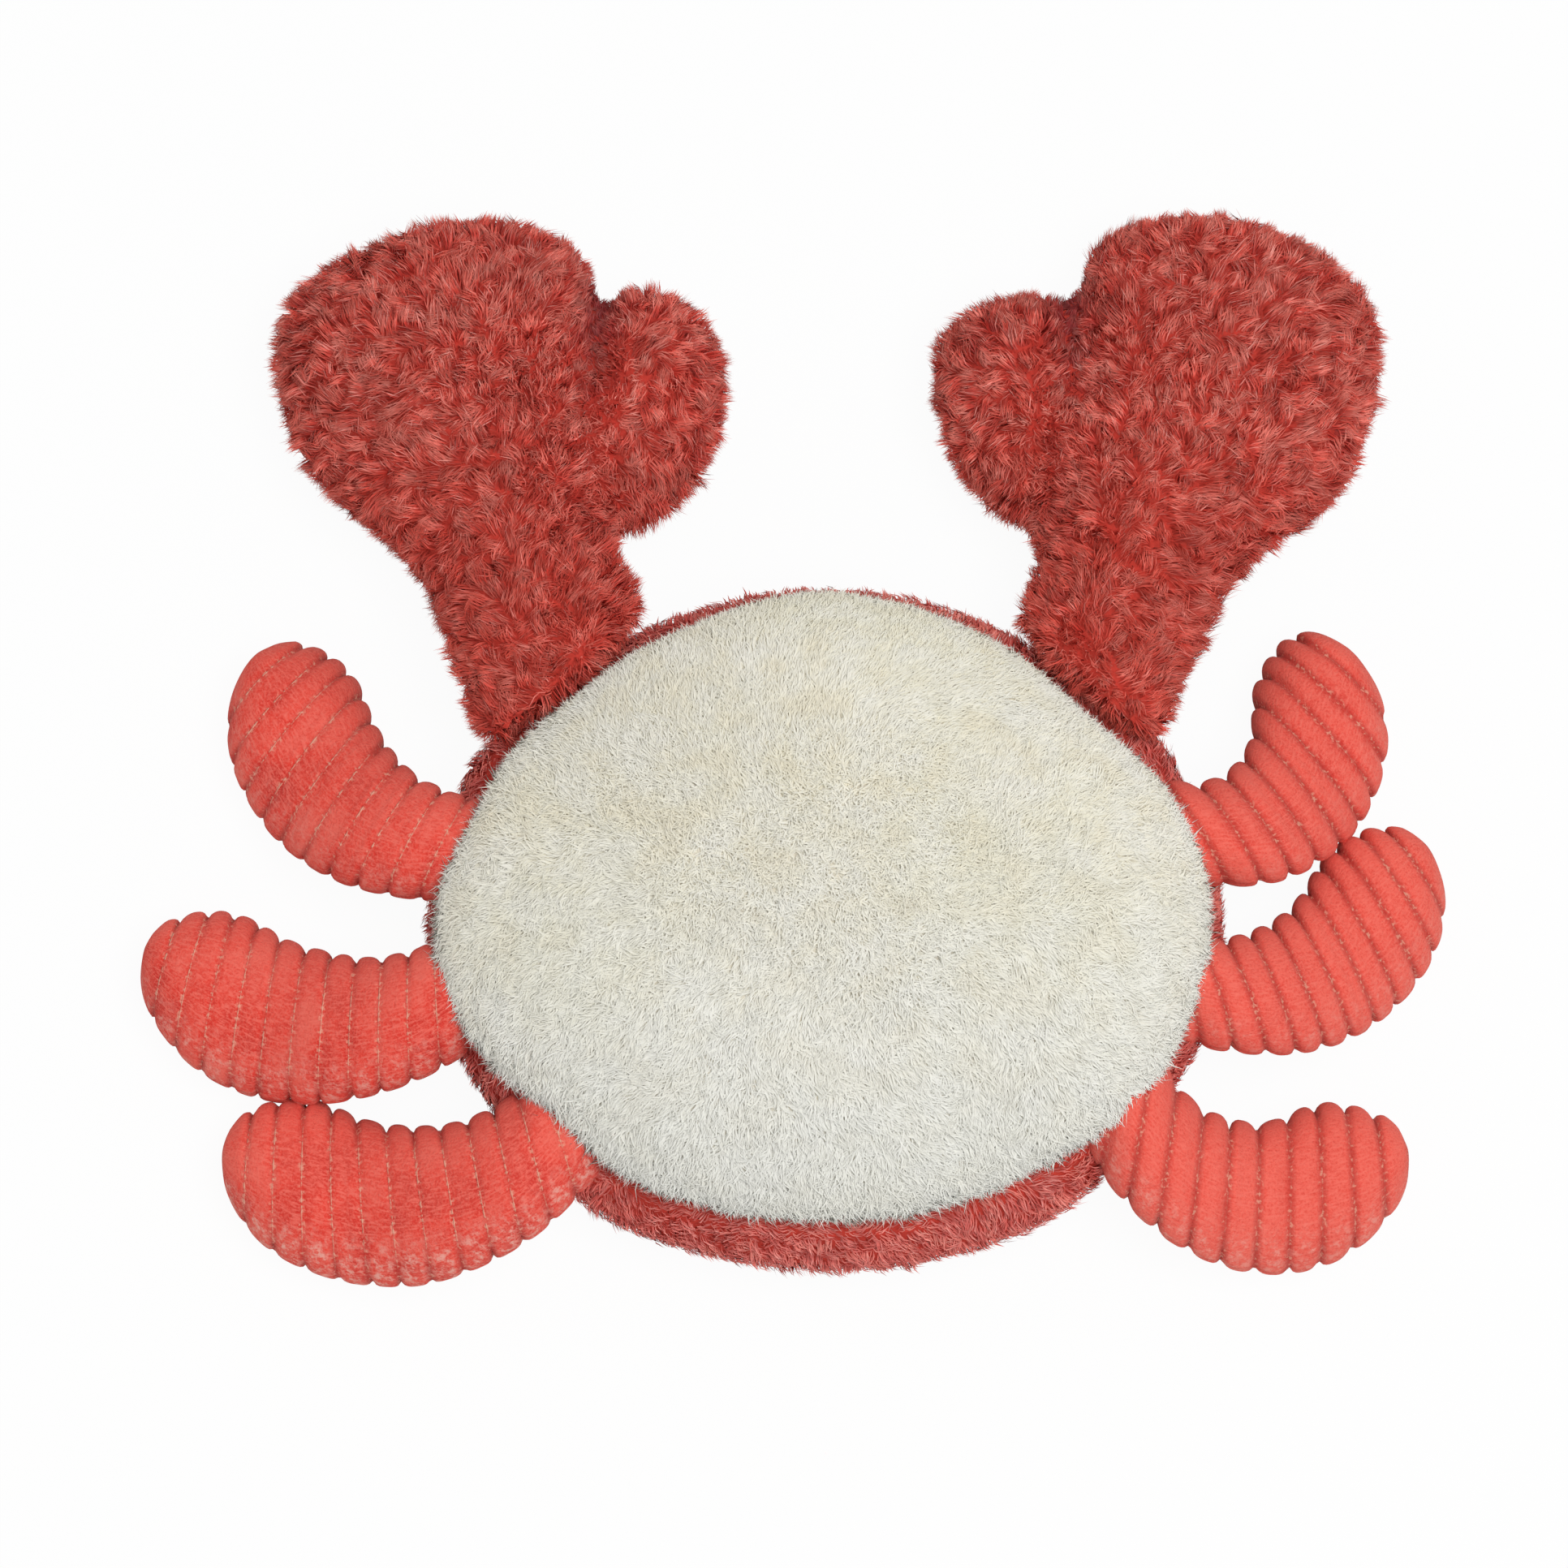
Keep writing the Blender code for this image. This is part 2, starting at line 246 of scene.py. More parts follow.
def bagMesh(node, name, stuffing):
    # The node's own solid, merged, remeshed and smoothed, drawn in by the depth of the pile, pushed
    # in and out where the stuffing is uneven, and blown up again
    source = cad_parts[node]
    shape = bmesh.new()
    shape.from_mesh(source.data)
    bmesh.ops.remove_doubles(shape, verts=shape.verts, dist=1e-6)
    mesh = bpy.data.meshes.new(name)
    shape.to_mesh(mesh)
    shape.free()
    bag = bpy.data.objects.new(name, mesh)
    bpy.context.collection.objects.link(bag)
    remesh = bag.modifiers.new("remesh", "REMESH")
    remesh.mode = "VOXEL"
    remesh.voxel_size = bags["voxel"]
    smooth = bag.modifiers.new("smooth", "SMOOTH")
    smooth.factor, smooth.iterations = bags["smooth"]
    bakeModifiers(bag)
    points, normals = vertexArrays(bag.data)
    uneven = smoothNoise(points, bags["lumpSize"], stuffing["seed"]) * stuffing["lump"]
    points -= normals * (stuffing["inset"] - uneven)[:, None]
    if "crease" in stuffing:
        near = creaseDepth(points, stuffing["crease"])
        points -= normals * (near * stuffing["creaseDepth"])[:, None]
    for x, y, reach, alongX, alongY in stuffing["pushes"]:
        near = np.exp(-((points[:, 0] - x) ** 2 + (points[:, 1] - y) ** 2) / reach**2)
        points[:, :2] += near[:, None] * [alongX, alongY]
    placePoints(bag.data, points)
    blowUp(bag)
    return bag


def creaseDepth(points, crease):
    # One on the crease's line from its open end, fading to its far end and to both sides
    start, end, reach = np.array(crease[0]), np.array(crease[1]), crease[2]
    run = end - start
    share = np.clip((points[:, :2] - start) @ run / (run @ run), -bags["creaseBeyond"], 1.0)
    off = np.linalg.norm(points[:, :2] - start - share[:, None] * run, axis=1)
    return np.exp(-((off / reach) ** 2)) * (1.0 - np.maximum(share, 0.0) ** 2)


def placePoints(mesh, points):
    # Puts the points into the mesh, none lower than just above the table
    points[:, 2] = np.maximum(points[:, 2], bags["aboveTable"])
    mesh.vertices.foreach_set("co", points.astype(np.float32).ravel())
    mesh.update()


def blowUp(bag):
    # Cloth with air pressure inside; no point moves further than the cap
    start, _ = vertexArrays(bag.data)
    cloth = bag.modifiers.new("cloth", "CLOTH")
    fabric = cloth.settings
    fabric.quality = bags["quality"]
    fabric.mass = bags["mass"]
    fabric.tension_stiffness = fabric.compression_stiffness = fabric.shear_stiffness = bags["stiffness"]
    fabric.bending_stiffness = bags["bending"]
    fabric.use_pressure = True
    fabric.uniform_pressure_force = bags["pressure"]
    fabric.effector_weights.gravity = 0.0
    cloth.collision_settings.use_collision = False
    cloth.point_cache.frame_start, cloth.point_cache.frame_end = 1, bags["frames"]
    for number in range(1, bags["frames"] + 1):
        bpy.context.scene.frame_set(number)
    bakeModifiers(bag)
    bpy.context.scene.frame_set(1)
    blown, _ = vertexArrays(bag.data)
    move = blown - start
    far = np.linalg.norm(move, axis=1, keepdims=True)
    move *= bags["cap"] * np.tanh(far / bags["cap"]) / np.maximum(far, 1e-9)
    placePoints(bag.data, start + move)
    most = float(np.linalg.norm(move, axis=1).max())
    print(bag.name, "blown up by at most", round(most * 1000, 2), "mm")


def bakeModifiers(piece):
    # The piece's mesh with its modifiers worked in takes the place of the old one
    graph = bpy.context.evaluated_depsgraph_get()
    mesh = bpy.data.meshes.new_from_object(piece.evaluated_get(graph))
    piece.modifiers.clear()
    old = piece.data
    mesh.name = old.name
    piece.data = mesh
    bpy.data.meshes.remove(old)


def vertexArrays(mesh):
    # The places and normals of the mesh's points, a row for each
    points = np.empty(len(mesh.vertices) * 3, np.float32)
    normals = np.empty(len(mesh.vertices) * 3, np.float32)
    mesh.vertices.foreach_get("co", points)
    mesh.vertices.foreach_get("normal", normals)
    return points.reshape(-1, 3).astype(float), normals.reshape(-1, 3).astype(float)


def triangleArray(mesh):
    # The three points of each triangle
    mesh.calc_loop_triangles()
    triangles = np.empty(len(mesh.loop_triangles) * 3, np.int32)
    mesh.loop_triangles.foreach_get("vertices", triangles)
    return triangles.reshape(-1, 3)


# pile

hair = {
    "weakStray": 3.0,  # how much more the hairs stray where there is no comb at all
    "lockStray": 0.4,
    "pull": 1.4,  # power of the share at which a hair is drawn to its lock's middle one
    "girth": (0.75, 0.5),  # least share of the width, and how much it varies
    "taper": 0.7,
    "lockEdge": 0.62,  # where a lock ends, as a share of its size
    "aboveTable": (0.0004, 0.0003),  # least height of a hair's middle line and of its edges
    "mapGap": 0.08,  # empty margin of a lock's cell on the colour map
    "mapHalf": 0.06,  # half a hair's width there
}


def scatterRoots(points, normals, triangles, count, density, rng):
    # Roots spread by area times density, one to each equal share of the running total
    a, b, c = (points[triangles[:, k]] for k in range(3))
    area = np.linalg.norm(np.cross(b - a, c - a), axis=1) / 2.0
    facing = unit(normals[triangles].sum(axis=1))
    weight = area * density((a + b + c) / 3.0, facing)
    running = np.cumsum(weight) / weight.sum()
    chosen = np.searchsorted(running, (np.arange(count) + rng.random(count)) / count)
    chosen = np.minimum(chosen, len(triangles) - 1)
    u, v = rng.random((2, count))
    over = u + v > 1.0
    u[over], v[over] = 1.0 - u[over], 1.0 - v[over]
    share = np.stack([1.0 - u - v, u, v], axis=1)[:, :, None]
    corner = triangles[chosen]
    return (points[corner] * share).sum(axis=1), unit((normals[corner] * share).sum(axis=1))


def locksOf(roots, size, seed):
    # Each root's lock: the nearest of points that are jittered about the cells of a cubic lattice
    cell = np.floor(roots / size).astype(np.int64)
    best = np.full(len(roots), np.inf)
    key = np.zeros_like(cell)
    for number in range(27):
        near = cell + np.array([number % 3 - 1, number // 3 % 3 - 1, number // 9 - 1])
        jitter = np.stack([latticeNumber(near, seed + axis) for axis in range(3)], axis=1)
        distance = np.linalg.norm((near + jitter) * size - roots, axis=1)
        closer = distance < best
        best[closer] = distance[closer]
        key[closer] = near[closer]
    return np.unique(key, axis=0, return_inverse=True)[1].reshape(-1)


def meanOver(values, groups, total):
    # The mean row of each group: sums over counts
    sums = np.stack([np.bincount(groups, values[:, axis], total) for axis in range(3)], axis=1)
    return sums / np.maximum(np.bincount(groups, minlength=total), 1)[:, None]


def turnAbout(vectors, axes, angles):
    # Turns each vector about its unit axis, which stands square to it
    return vectors * np.cos(angles)[:, None] + np.cross(axes, vectors) * np.sin(angles)[:, None]


def hairPath(root, normal, flow, curl, length, stand, lay, share):
    # A hair's point at a share of its length: it leaves the skin at one angle, bends over to another
    # and curls aside on the way
    first = normal * np.cos(stand)[:, None] + flow * np.sin(stand)[:, None]
    last = normal * np.cos(lay)[:, None] + turnAbout(flow, normal, curl) * np.sin(lay)[:, None]
    bend = first * (share * (1.0 - share)) + last * share**2
    return root + bend * length[:, None]


def growPile(name, bag, field, material, node, pile):
    # Flat tapering hairs in locks. Each hair bends over along the comb direction, as far as the comb's
    # strength says, and its tip is drawn towards the tip of the hair in the middle of its lock
    rng = np.random.default_rng(pile["seed"])
    points, normals = vertexArrays(bag.data)
    triangles = triangleArray(bag.data)
    root, normal = scatterRoots(points, normals, triangles, pile["hairs"], field["density"], rng)
    lock = locksOf(root, pile["lockSize"], pile["seed"])
    order = np.argsort(lock, kind="stable")
    root, normal, lock = root[order], normal[order], lock[order]
    total, count = int(lock.max()) + 1, len(root)
    lockRoot = meanOver(root, lock, total)
    lockNormal = unit(meanOver(normal, lock, total))

    unrest = field["unrest"](lockRoot)
    lockTurn = rng.normal(0.0, pile["lockTurn"], total) * unrest
    lockLength = pile["length"] * np.exp(rng.normal(0.0, pile["lockUneven"], total) * unrest)
    lockLength = lockLength * field["length"](lockRoot)
    lockLay = rng.normal(0.0, pile["lockLay"], total) * unrest
    clump = (pile["clump"] * unrest)[lock][:, None]
    lockTint = rng.random(total)
    lockCurl = rng.normal(0.0, pile["curl"], total) * unrest

    def flowAt(place, facing, turn, stray):
        # where the comb is weak the hairs stray more
        along = field["comb"](place, facing)
        along = along - facing * (along * facing).sum(axis=1)[:, None]
        strength = np.minimum(np.linalg.norm(along, axis=1), 1.0)
        turn = turn + smoothNoise(place, pile["wanderSize"], pile["seed"] + 11) * pile["wander"]
        turn = turn + stray * (1.0 + hair["weakStray"] * (1.0 - strength))
        lean = np.maximum(strength, pile["leastLay"]) * np.radians(pile["lay"])
        return turnAbout(unit(along), facing, turn), lean

    flow, lay = flowAt(root, normal, lockTurn[lock], rng.normal(0.0, pile["stray"], count))
    lockFlow, lockLean = flowAt(lockRoot, lockNormal, lockTurn, rng.normal(0.0, hair["lockStray"], total))
    lockLean = lockLean + lockLay
    length = lockLength[lock] * np.exp(rng.normal(0.0, pile["uneven"], count))
    stand = np.full(count, np.radians(pile["stand"]))
    lockStand = stand[:total]
    lay = lay + lockLay[lock] + rng.normal(0.0, pile["strayLay"], count)

    levels = np.linspace(0.0, 1.0, pile["steps"] + 1)
    path = []
    for share in levels:
        own = hairPath(root, normal, flow, lockCurl[lock], length, stand, lay, share)
        mid = hairPath(lockRoot, lockNormal, lockFlow, lockCurl, lockLength, lockStand, lockLean, share)
        pulled = own + (mid[lock] - own) * clump * share ** hair["pull"]
        pulled[:, 2] = np.maximum(pulled[:, 2], hair["aboveTable"][0])
        path.append(pulled)
    path = np.stack(path, axis=1)
    run = np.gradient(path, axis=1)
    across = unit(np.cross(run, normal[:, None, :]))
    roll = rng.normal(0.0, pile["roll"], count)[:, None, None]
    across = unit(across * np.cos(roll) + normal[:, None, :] * np.sin(roll))
    # every hair turns its front outwards and up, so that both of its sides take the light alike
    lift = pile["lift"] * np.clip(normal[:, 2:] + 1.0, 0.0, 1.0)
    lifted = unit(normal + np.array([0.0, 0.0, 1.0]) * lift)
    # and each lock is lit like a small dome
    offset = (root - lockRoot[lock]) / pile["lockSize"]
    offset -= normal * (offset * normal).sum(axis=1)[:, None]
    lifted = unit(lifted + offset * pile["dome"])
    front = np.cross(across, run)[:, pile["steps"] // 2]
    across *= np.where((front * lifted).sum(axis=1) < 0.0, -1.0, 1.0)[:, None, None]
    least, varied = hair["girth"]
    girth = pile["width"] * (least + varied * rng.random(count))[:, None]
    girth = girth * (1.0 - levels**2 * hair["taper"])
    half = across * girth[:, :, None] / 2.0

    # two points on each level but the last, which is the tip
    steps = pile["steps"]
    pairs = np.stack([path[:, :-1] - half[:, :-1], path[:, :-1] + half[:, :-1]], axis=2)
    blade = np.concatenate([pairs.reshape(count, steps * 2, 3), path[:, -1:]], axis=1)
    blade[..., 2] = np.maximum(blade[..., 2], hair["aboveTable"][1])
    perHair = steps * 2 + 1
    quad = np.arange(steps - 1)[:, None] * 2 + np.array([0, 1, 3, 2])
    pattern = np.concatenate([quad.ravel(), [steps * 2 - 2, steps * 2 - 1, steps * 2]])
    corners = (np.arange(count)[:, None] * perHair + pattern).ravel()
    counts = np.tile([4] * (steps - 1) + [3], count)
    mesh = meshFrom(name, blade.reshape(-1, 3), corners, counts)

    flat = unit(np.cross(across, run))
    soft = unit(flat * (1.0 - pile["soft"]) + lifted[:, None, :] * pile["soft"])
    shade = np.concatenate([np.repeat(soft[:, :-1], 2, axis=1), soft[:, -1:]], axis=1)
    mesh.normals_split_custom_set_from_vertices(shade.reshape(-1, 3).tolist())

    level = np.concatenate([np.repeat(levels[:-1], 2), [1.0]])
    tint = rng.random(count)
    addNumbers(mesh, "along", np.tile(level, count))
    addNumbers(mesh, "tint", np.repeat(tint, perHair))
    addNumbers(mesh, "lock", np.repeat(lockTint[lock], perHair))
    # how much painted light (belly seam) and painted shade (claw crease) each hair takes
    addNumbers(mesh, "hollow", np.repeat(field["hollow"](root), perHair))
    # how far out in its lock a hair stands; the material darkens the outer hairs as painted shade between
    # the locks
    edge = np.clip(np.linalg.norm(offset, axis=1) / hair["lockEdge"], 0.0, 1.0)
    addNumbers(mesh, "edge", np.repeat(edge, perHair))

    # on the colour map each lock has a cell of its own, and a hair stands in it as far across as
    # its tint says
    grid = math.ceil(math.sqrt(total))
    cell = np.stack([lock % grid, lock // grid], axis=1)
    gap, halfHair = hair["mapGap"], hair["mapHalf"]
    inCell = np.stack([np.tile([-halfHair, halfHair], steps), np.repeat(levels[:-1], 2)], axis=1)
    room = 1.0 - 2.0 * gap
    inCell = np.concatenate([inCell, [[0.0, 1.0]]]) * [1.0, room] + [gap, gap]
    places = cell[:, None, :] + inCell[None] + (tint * room)[:, None, None] * [1.0, 0.0]
    layer = mesh.uv_layers.new(name="OFBake")
    layer.uv.foreach_set("vector", (places / grid).reshape(-1, 2)[corners].astype(np.float32).ravel())
    piece = pieceFrom(mesh, material, node)
    print(name, "hairs", count, "locks", total)
    return piece


def addNumbers(mesh, name, values):
    # One number for each point of the mesh, for the material to read
    mesh.attributes.new(name, "FLOAT", "POINT").data.foreach_set("value", values.astype(np.float32))


# materials


def numberNode(nodes, name):
    # Reads one of the mesh's own numbers
    node = nodes.new("ShaderNodeAttribute")
    node.attribute_name = name
    return node.outputs["Fac"]


def rampNode(nodes, links, factor, stops):
    # A colour for each value of the factor, blended from stop to stop
    node = nodes.new("ShaderNodeValToRGB")
    ramp = node.color_ramp
    while len(ramp.elements) < len(stops):
        ramp.elements.new(0.5)
    for element, (place, colour) in zip(ramp.elements, stops):
        element.position = place
        element.color = (*colour, 1.0)
    links.new(factor, node.inputs["Fac"])
    return node.outputs["Color"]


def mixNode(nodes, links, factor, first, second):
    # From the first colour to the second by the factor
    node = nodes.new("ShaderNodeMix")
    node.data_type = "RGBA"
    for name, value in (("Factor", factor), ("A", first), ("B", second)):
        socket = [i for i in node.inputs if i.name == name and i.enabled][0]
        if isinstance(value, (int, float)):
            socket.default_value = value
        elif isinstance(value, tuple):
            socket.default_value = (*value, 1.0)
        else:
            links.new(value, socket)
    return [o for o in node.outputs if o.enabled][0]


def noiseNode(nodes, links, scale, detail, rough=0.5, source=None):
    # Soft noise in the object's own space, unless a source says otherwise
    node = nodes.new("ShaderNodeTexNoise")
    node.inputs["Scale"].default_value = scale
    node.inputs["Detail"].default_value = detail
    node.inputs["Roughness"].default_value = rough
    if source is None:
        source = nodes.new("ShaderNodeTexCoord").outputs["Object"]
    links.new(source, node.inputs["Vector"])
    return node.outputs["Fac"]


def spreadNode(nodes, links, value, low, high, toLow=0.0, toHigh=1.0):
    # A value from low to high becomes one from toLow to toHigh, and stays between them
    node = nodes.new("ShaderNodeMapRange")
    node.inputs["From Min"].default_value = low
    node.inputs["From Max"].default_value = high
    node.inputs["To Min"].default_value = toLow
    node.inputs["To Max"].default_value = toHigh
    links.new(value, node.inputs["Value"])
    return node.outputs["Result"]


# Between which of its values each noise or number takes effect, from none of it to all
pileSpread = {
    "patch": (0.38, 0.62),
    "pale": (0.48, 0.66),
    "deep": (0.50, 0.34),
    "glint": (0.78, 1.0),
    "gap": (0.35, 1.0),
    "tint": (0.0, 0.7),
    "lock": (0.0, 1.0),
}
brighterBy = {"tint": 0.4, "lock": 0.6}  # share of the unevenness that goes upwards


def pileMaterial(name, look):
    # Along each hair from root to tip, shifted by the hair's and the lock's own tint and by broad patches
    material = bpy.data.materials.new(name)
    nodes, links, shader = nodesOf(material)
    colour = rampNode(nodes, links, numberNode(nodes, "along"), look["along"])
    broad = noiseNode(nodes, links, look["patchScale"], detail=3.0)
    patch = spreadNode(nodes, links, broad, *pileSpread["patch"], 0.0, look["patch"])
    colour = mixNode(nodes, links, patch, colour, look["patchColour"])
    tuft = noiseNode(nodes, links, look["tuftScale"], detail=2.0)
    for kind, tuftColour in (("pale", look["tuftPale"]), ("deep", look["tuftDeep"])):
        share = spreadNode(nodes, links, tuft, *pileSpread[kind], 0.0, look["tuft"])
        colour = mixNode(nodes, links, share, colour, tuftColour)
    shift = look["lockShift"]
    lock = spreadNode(nodes, links, numberNode(nodes, "lock"), *pileSpread["lock"], 0.0, shift)
    colour = mixNode(nodes, links, lock, colour, look["lockColour"])
    # painted highlights: pale tips on a few hairs
    if "glint" in look:
        most, glintColour = look["glint"]
        glint = nodes.new("ShaderNodeMath")
        glint.operation = "MULTIPLY"
        few = spreadNode(nodes, links, numberNode(nodes, "tint"), *pileSpread["glint"], 0.0, most)
        links.new(few, glint.inputs[0])
        links.new(numberNode(nodes, "along"), glint.inputs[1])
        colour = mixNode(nodes, links, glint.outputs[0], colour, glintColour)
    # painted shade between the locks, darker towards a lock's edge
    if "gap" in look:
        most, lockGapShadeColour = look["gap"]
        gap = spreadNode(nodes, links, numberNode(nodes, "edge"), *pileSpread["gap"], 0.0, most)
        colour = mixNode(nodes, links, gap, colour, lockGapShadeColour)
    # painted light at the belly's seam, painted shade in the claws' crease
    if "paintedLightAndShadeColour" in look:
        colour = mixNode(nodes, links, numberNode(nodes, "hollow"), colour, look["paintedLightAndShadeColour"])
    if "fade" in look:
        start, end, most, paler = look["fade"]
        place = nodes.new("ShaderNodeSeparateXYZ")
        links.new(nodes.new("ShaderNodeTexCoord").outputs["Object"], place.inputs[0])
        fade = spreadNode(nodes, links, place.outputs["Y"], start, end, 0.0, most)
        colour = mixNode(nodes, links, fade, colour, paler)
    # darker and, by less, brighter by the hair and by the lock
    for kind, uneven in (("tint", look["uneven"]), ("lock", look["lockUneven"])):
        number = numberNode(nodes, kind)
        most = 1.0 + uneven * brighterBy[kind]
        share = spreadNode(nodes, links, number, *pileSpread[kind], 1.0 - uneven, most)
        bright = nodes.new("ShaderNodeVectorMath")
        bright.operation = "SCALE"
        links.new(colour, bright.inputs[0])
        links.new(share, bright.inputs["Scale"])
        colour = bright.outputs[0]
    links.new(colour, shader.inputs["Base Color"])
    shader.inputs["Roughness"].default_value = look["roughness"]
    shader.inputs["Specular IOR Level"].default_value = look["shine"]
    shader.inputs["Sheen Weight"].default_value = look["sheen"]
    shader.inputs["Sheen Roughness"].default_value = 0.5
    shader.inputs["Sheen Tint"].default_value = (*look["sheenTint"], 1.0)
    return material


skin = {
    "grain": 900.0,
    "darker": 0.8,
    "stops": (0.35, 0.7),
}


def skinMaterial(name, colour):
    # The woven ground that the pile grows out of, seen only between the locks
    material = bpy.data.materials.new(name)
    nodes, links, shader = nodesOf(material)
    grain = noiseNode(nodes, links, skin["grain"], detail=2.0)
    darker = tuple(channel * skin["darker"] for channel in colour)
    stops = list(zip(skin["stops"], (darker, colour)))
    links.new(rampNode(nodes, links, grain, stops), shader.inputs["Base Color"])
    shader.inputs["Roughness"].default_value = 1.0
    shader.inputs["Specular IOR Level"].default_value = 0.1
    return material


def evenly(place):
    # One everywhere
    return np.ones(len(place))


def nowhere(place):
    # Nothing everywhere
    return np.zeros(len(place))


# belly

belly = {
    "inset": 0.0024,
    "seed": 5,
    "lump": 0.0008,
    # place, reach and movement of each spot where the stuffing sits further in or out
    "pushes": [
        (-0.095, 0.026, 0.016, 0.0025, -0.0010),
        (-0.105, -0.012, 0.016, -0.0015, 0.0),
        (-0.072, -0.058, 0.018, 0.0018, 0.0018),
        (0.075, 0.056, 0.026, -0.0034, -0.0030),
        (-0.072, 0.062, 0.026, 0.0012, -0.0018),
        (-0.036, 0.077, 0.015, 0.0, -0.0012),
        (0.079, -0.052, 0.018, 0.0015, -0.0020),
        (0.0, 0.085, 0.035, 0.0, 0.0004),
        (0.104, 0.030, 0.030, -0.0010, 0.0),
        (-0.104, 0.035, 0.030, 0.0008, 0.0),
        (0.104, -0.010, 0.022, 0.0012, 0.0),
        (0.005, -0.085, 0.045, 0.0, -0.0020),
    ],
    "parting": (0.020, -0.30, 0.050),  # height of its middle, slope, half width
    "aside": (-0.028, 0.09),  # where the pile parts to the two sides, and half the width of that
    "unruly": ((0.026, 0.9, 71), (0.030, 0.8, 72)),  # size, strength and seed of the comb's noises
    "outward": 1.3,  # how much the comb follows the slopes down
    "front": (0.035, 0.010),  # where the calm, clipped pile towards the claws begins, and how softly
    "frontCalm": (0.9, 0.75),  # how much calmer the comb and the locks are there
    "frontClip": (0.22, 0.25),  # how much shorter the pile is there, and more so at the seam
    "seamComb": (0.55, 0.010),  # how much weaker the comb is at the seam, and how far up
    "seamLength": (0.2, 0.008),  # how much longer the pile is at the seam, and how far up
    "seamPaintedLight": (0.75, 0.012),  # how much painted light brightens the pile at the seam, to lift the shade there, and how far up
    "hidden": -0.75,  # no pile where the surface faces further down than this, on to the back
    "pile": {
        "seed": 3,
        "hairs": 64000,
        "steps": 2,  # straight stretches of a hair
        "length": 0.0046,
        "width": 0.00050,
        "stand": 44.0,  # degrees off upright at the root
        "lay": 80.0,  # and at the tip
        "leastLay": 0.82,  # share of that where there is no comb
        "lockSize": 0.0036,
        # turns, strays, curls and rolls from here on are in radians
        "lockTurn": 0.35,  # how far the locks turn off the comb's way
        "lockUneven": 0.05,  # how much their lengths differ
        "lockLay": 0.10,  # how much their lay differs
        "uneven": 0.10,  # how much the hairs' own lengths differ
        "stray": 0.40,  # how far the hairs turn off their lock's way
        "strayLay": 0.18,
        "wander": 0.9,  # how far the comb's way wanders, over stretches of what size
        "wanderSize": 0.024,
        "curl": 0.35,  # how far the tips curl aside
        "clump": 0.16,  # how much of the way the tips of a lock are drawn together
        "roll": 0.30,  # how far the hairs roll about their own length
        "soft": 0.95,  # how much a hair is lit like the whole surface and not like a flat blade
        "lift": 1.6,  # how much that surface is lit from above
        "dome": 0.12,  # how round each lock is lit
    },
    "topPile": {
        "seed": 4,
        "hairs": 44000,
        "length": 0.0056,
        "width": 0.00032,
        "stand": 38.0,
        "uneven": 0.14,
    },
    "ground": (0.95, 0.89, 0.75),
    # colours from root to tip, the roots painted brighter than the tips as painted light against the
    # shade deep in the pile, then what shifts them: broad patches, tufts and single locks
    "look": {
        "along": [(0.0, (0.96, 0.91, 0.75)), (0.5, (0.895, 0.865, 0.747)), (1.0, (0.85, 0.835, 0.742))],
        "fade": (0.02, -0.06, 0.7, (0.85, 0.855, 0.815)),  # paler and cooler towards the rear
        "patchScale": 14.0,
        "patch": 0.5,
        "patchColour": (0.84, 0.81, 0.63),
        "tuftScale": 90.0,
        "tuft": 0.42,
        "tuftPale": (0.93, 0.92, 0.87),
        "tuftDeep": (0.86, 0.79, 0.60),
        # painted light at the seam: the colour the pile brightens towards there
        "paintedLightAndShadeColour": (0.98, 0.96, 0.91),
        "lockShift": 0.10,
        "lockColour": (0.89, 0.86, 0.74),
        "lockUneven": 0.02,
        "uneven": 0.03,
        "roughness": 0.60,
        "shine": 0.20,
        "sheen": 0.10,
        "sheenTint": (1.0, 0.98, 0.94),
    },
}


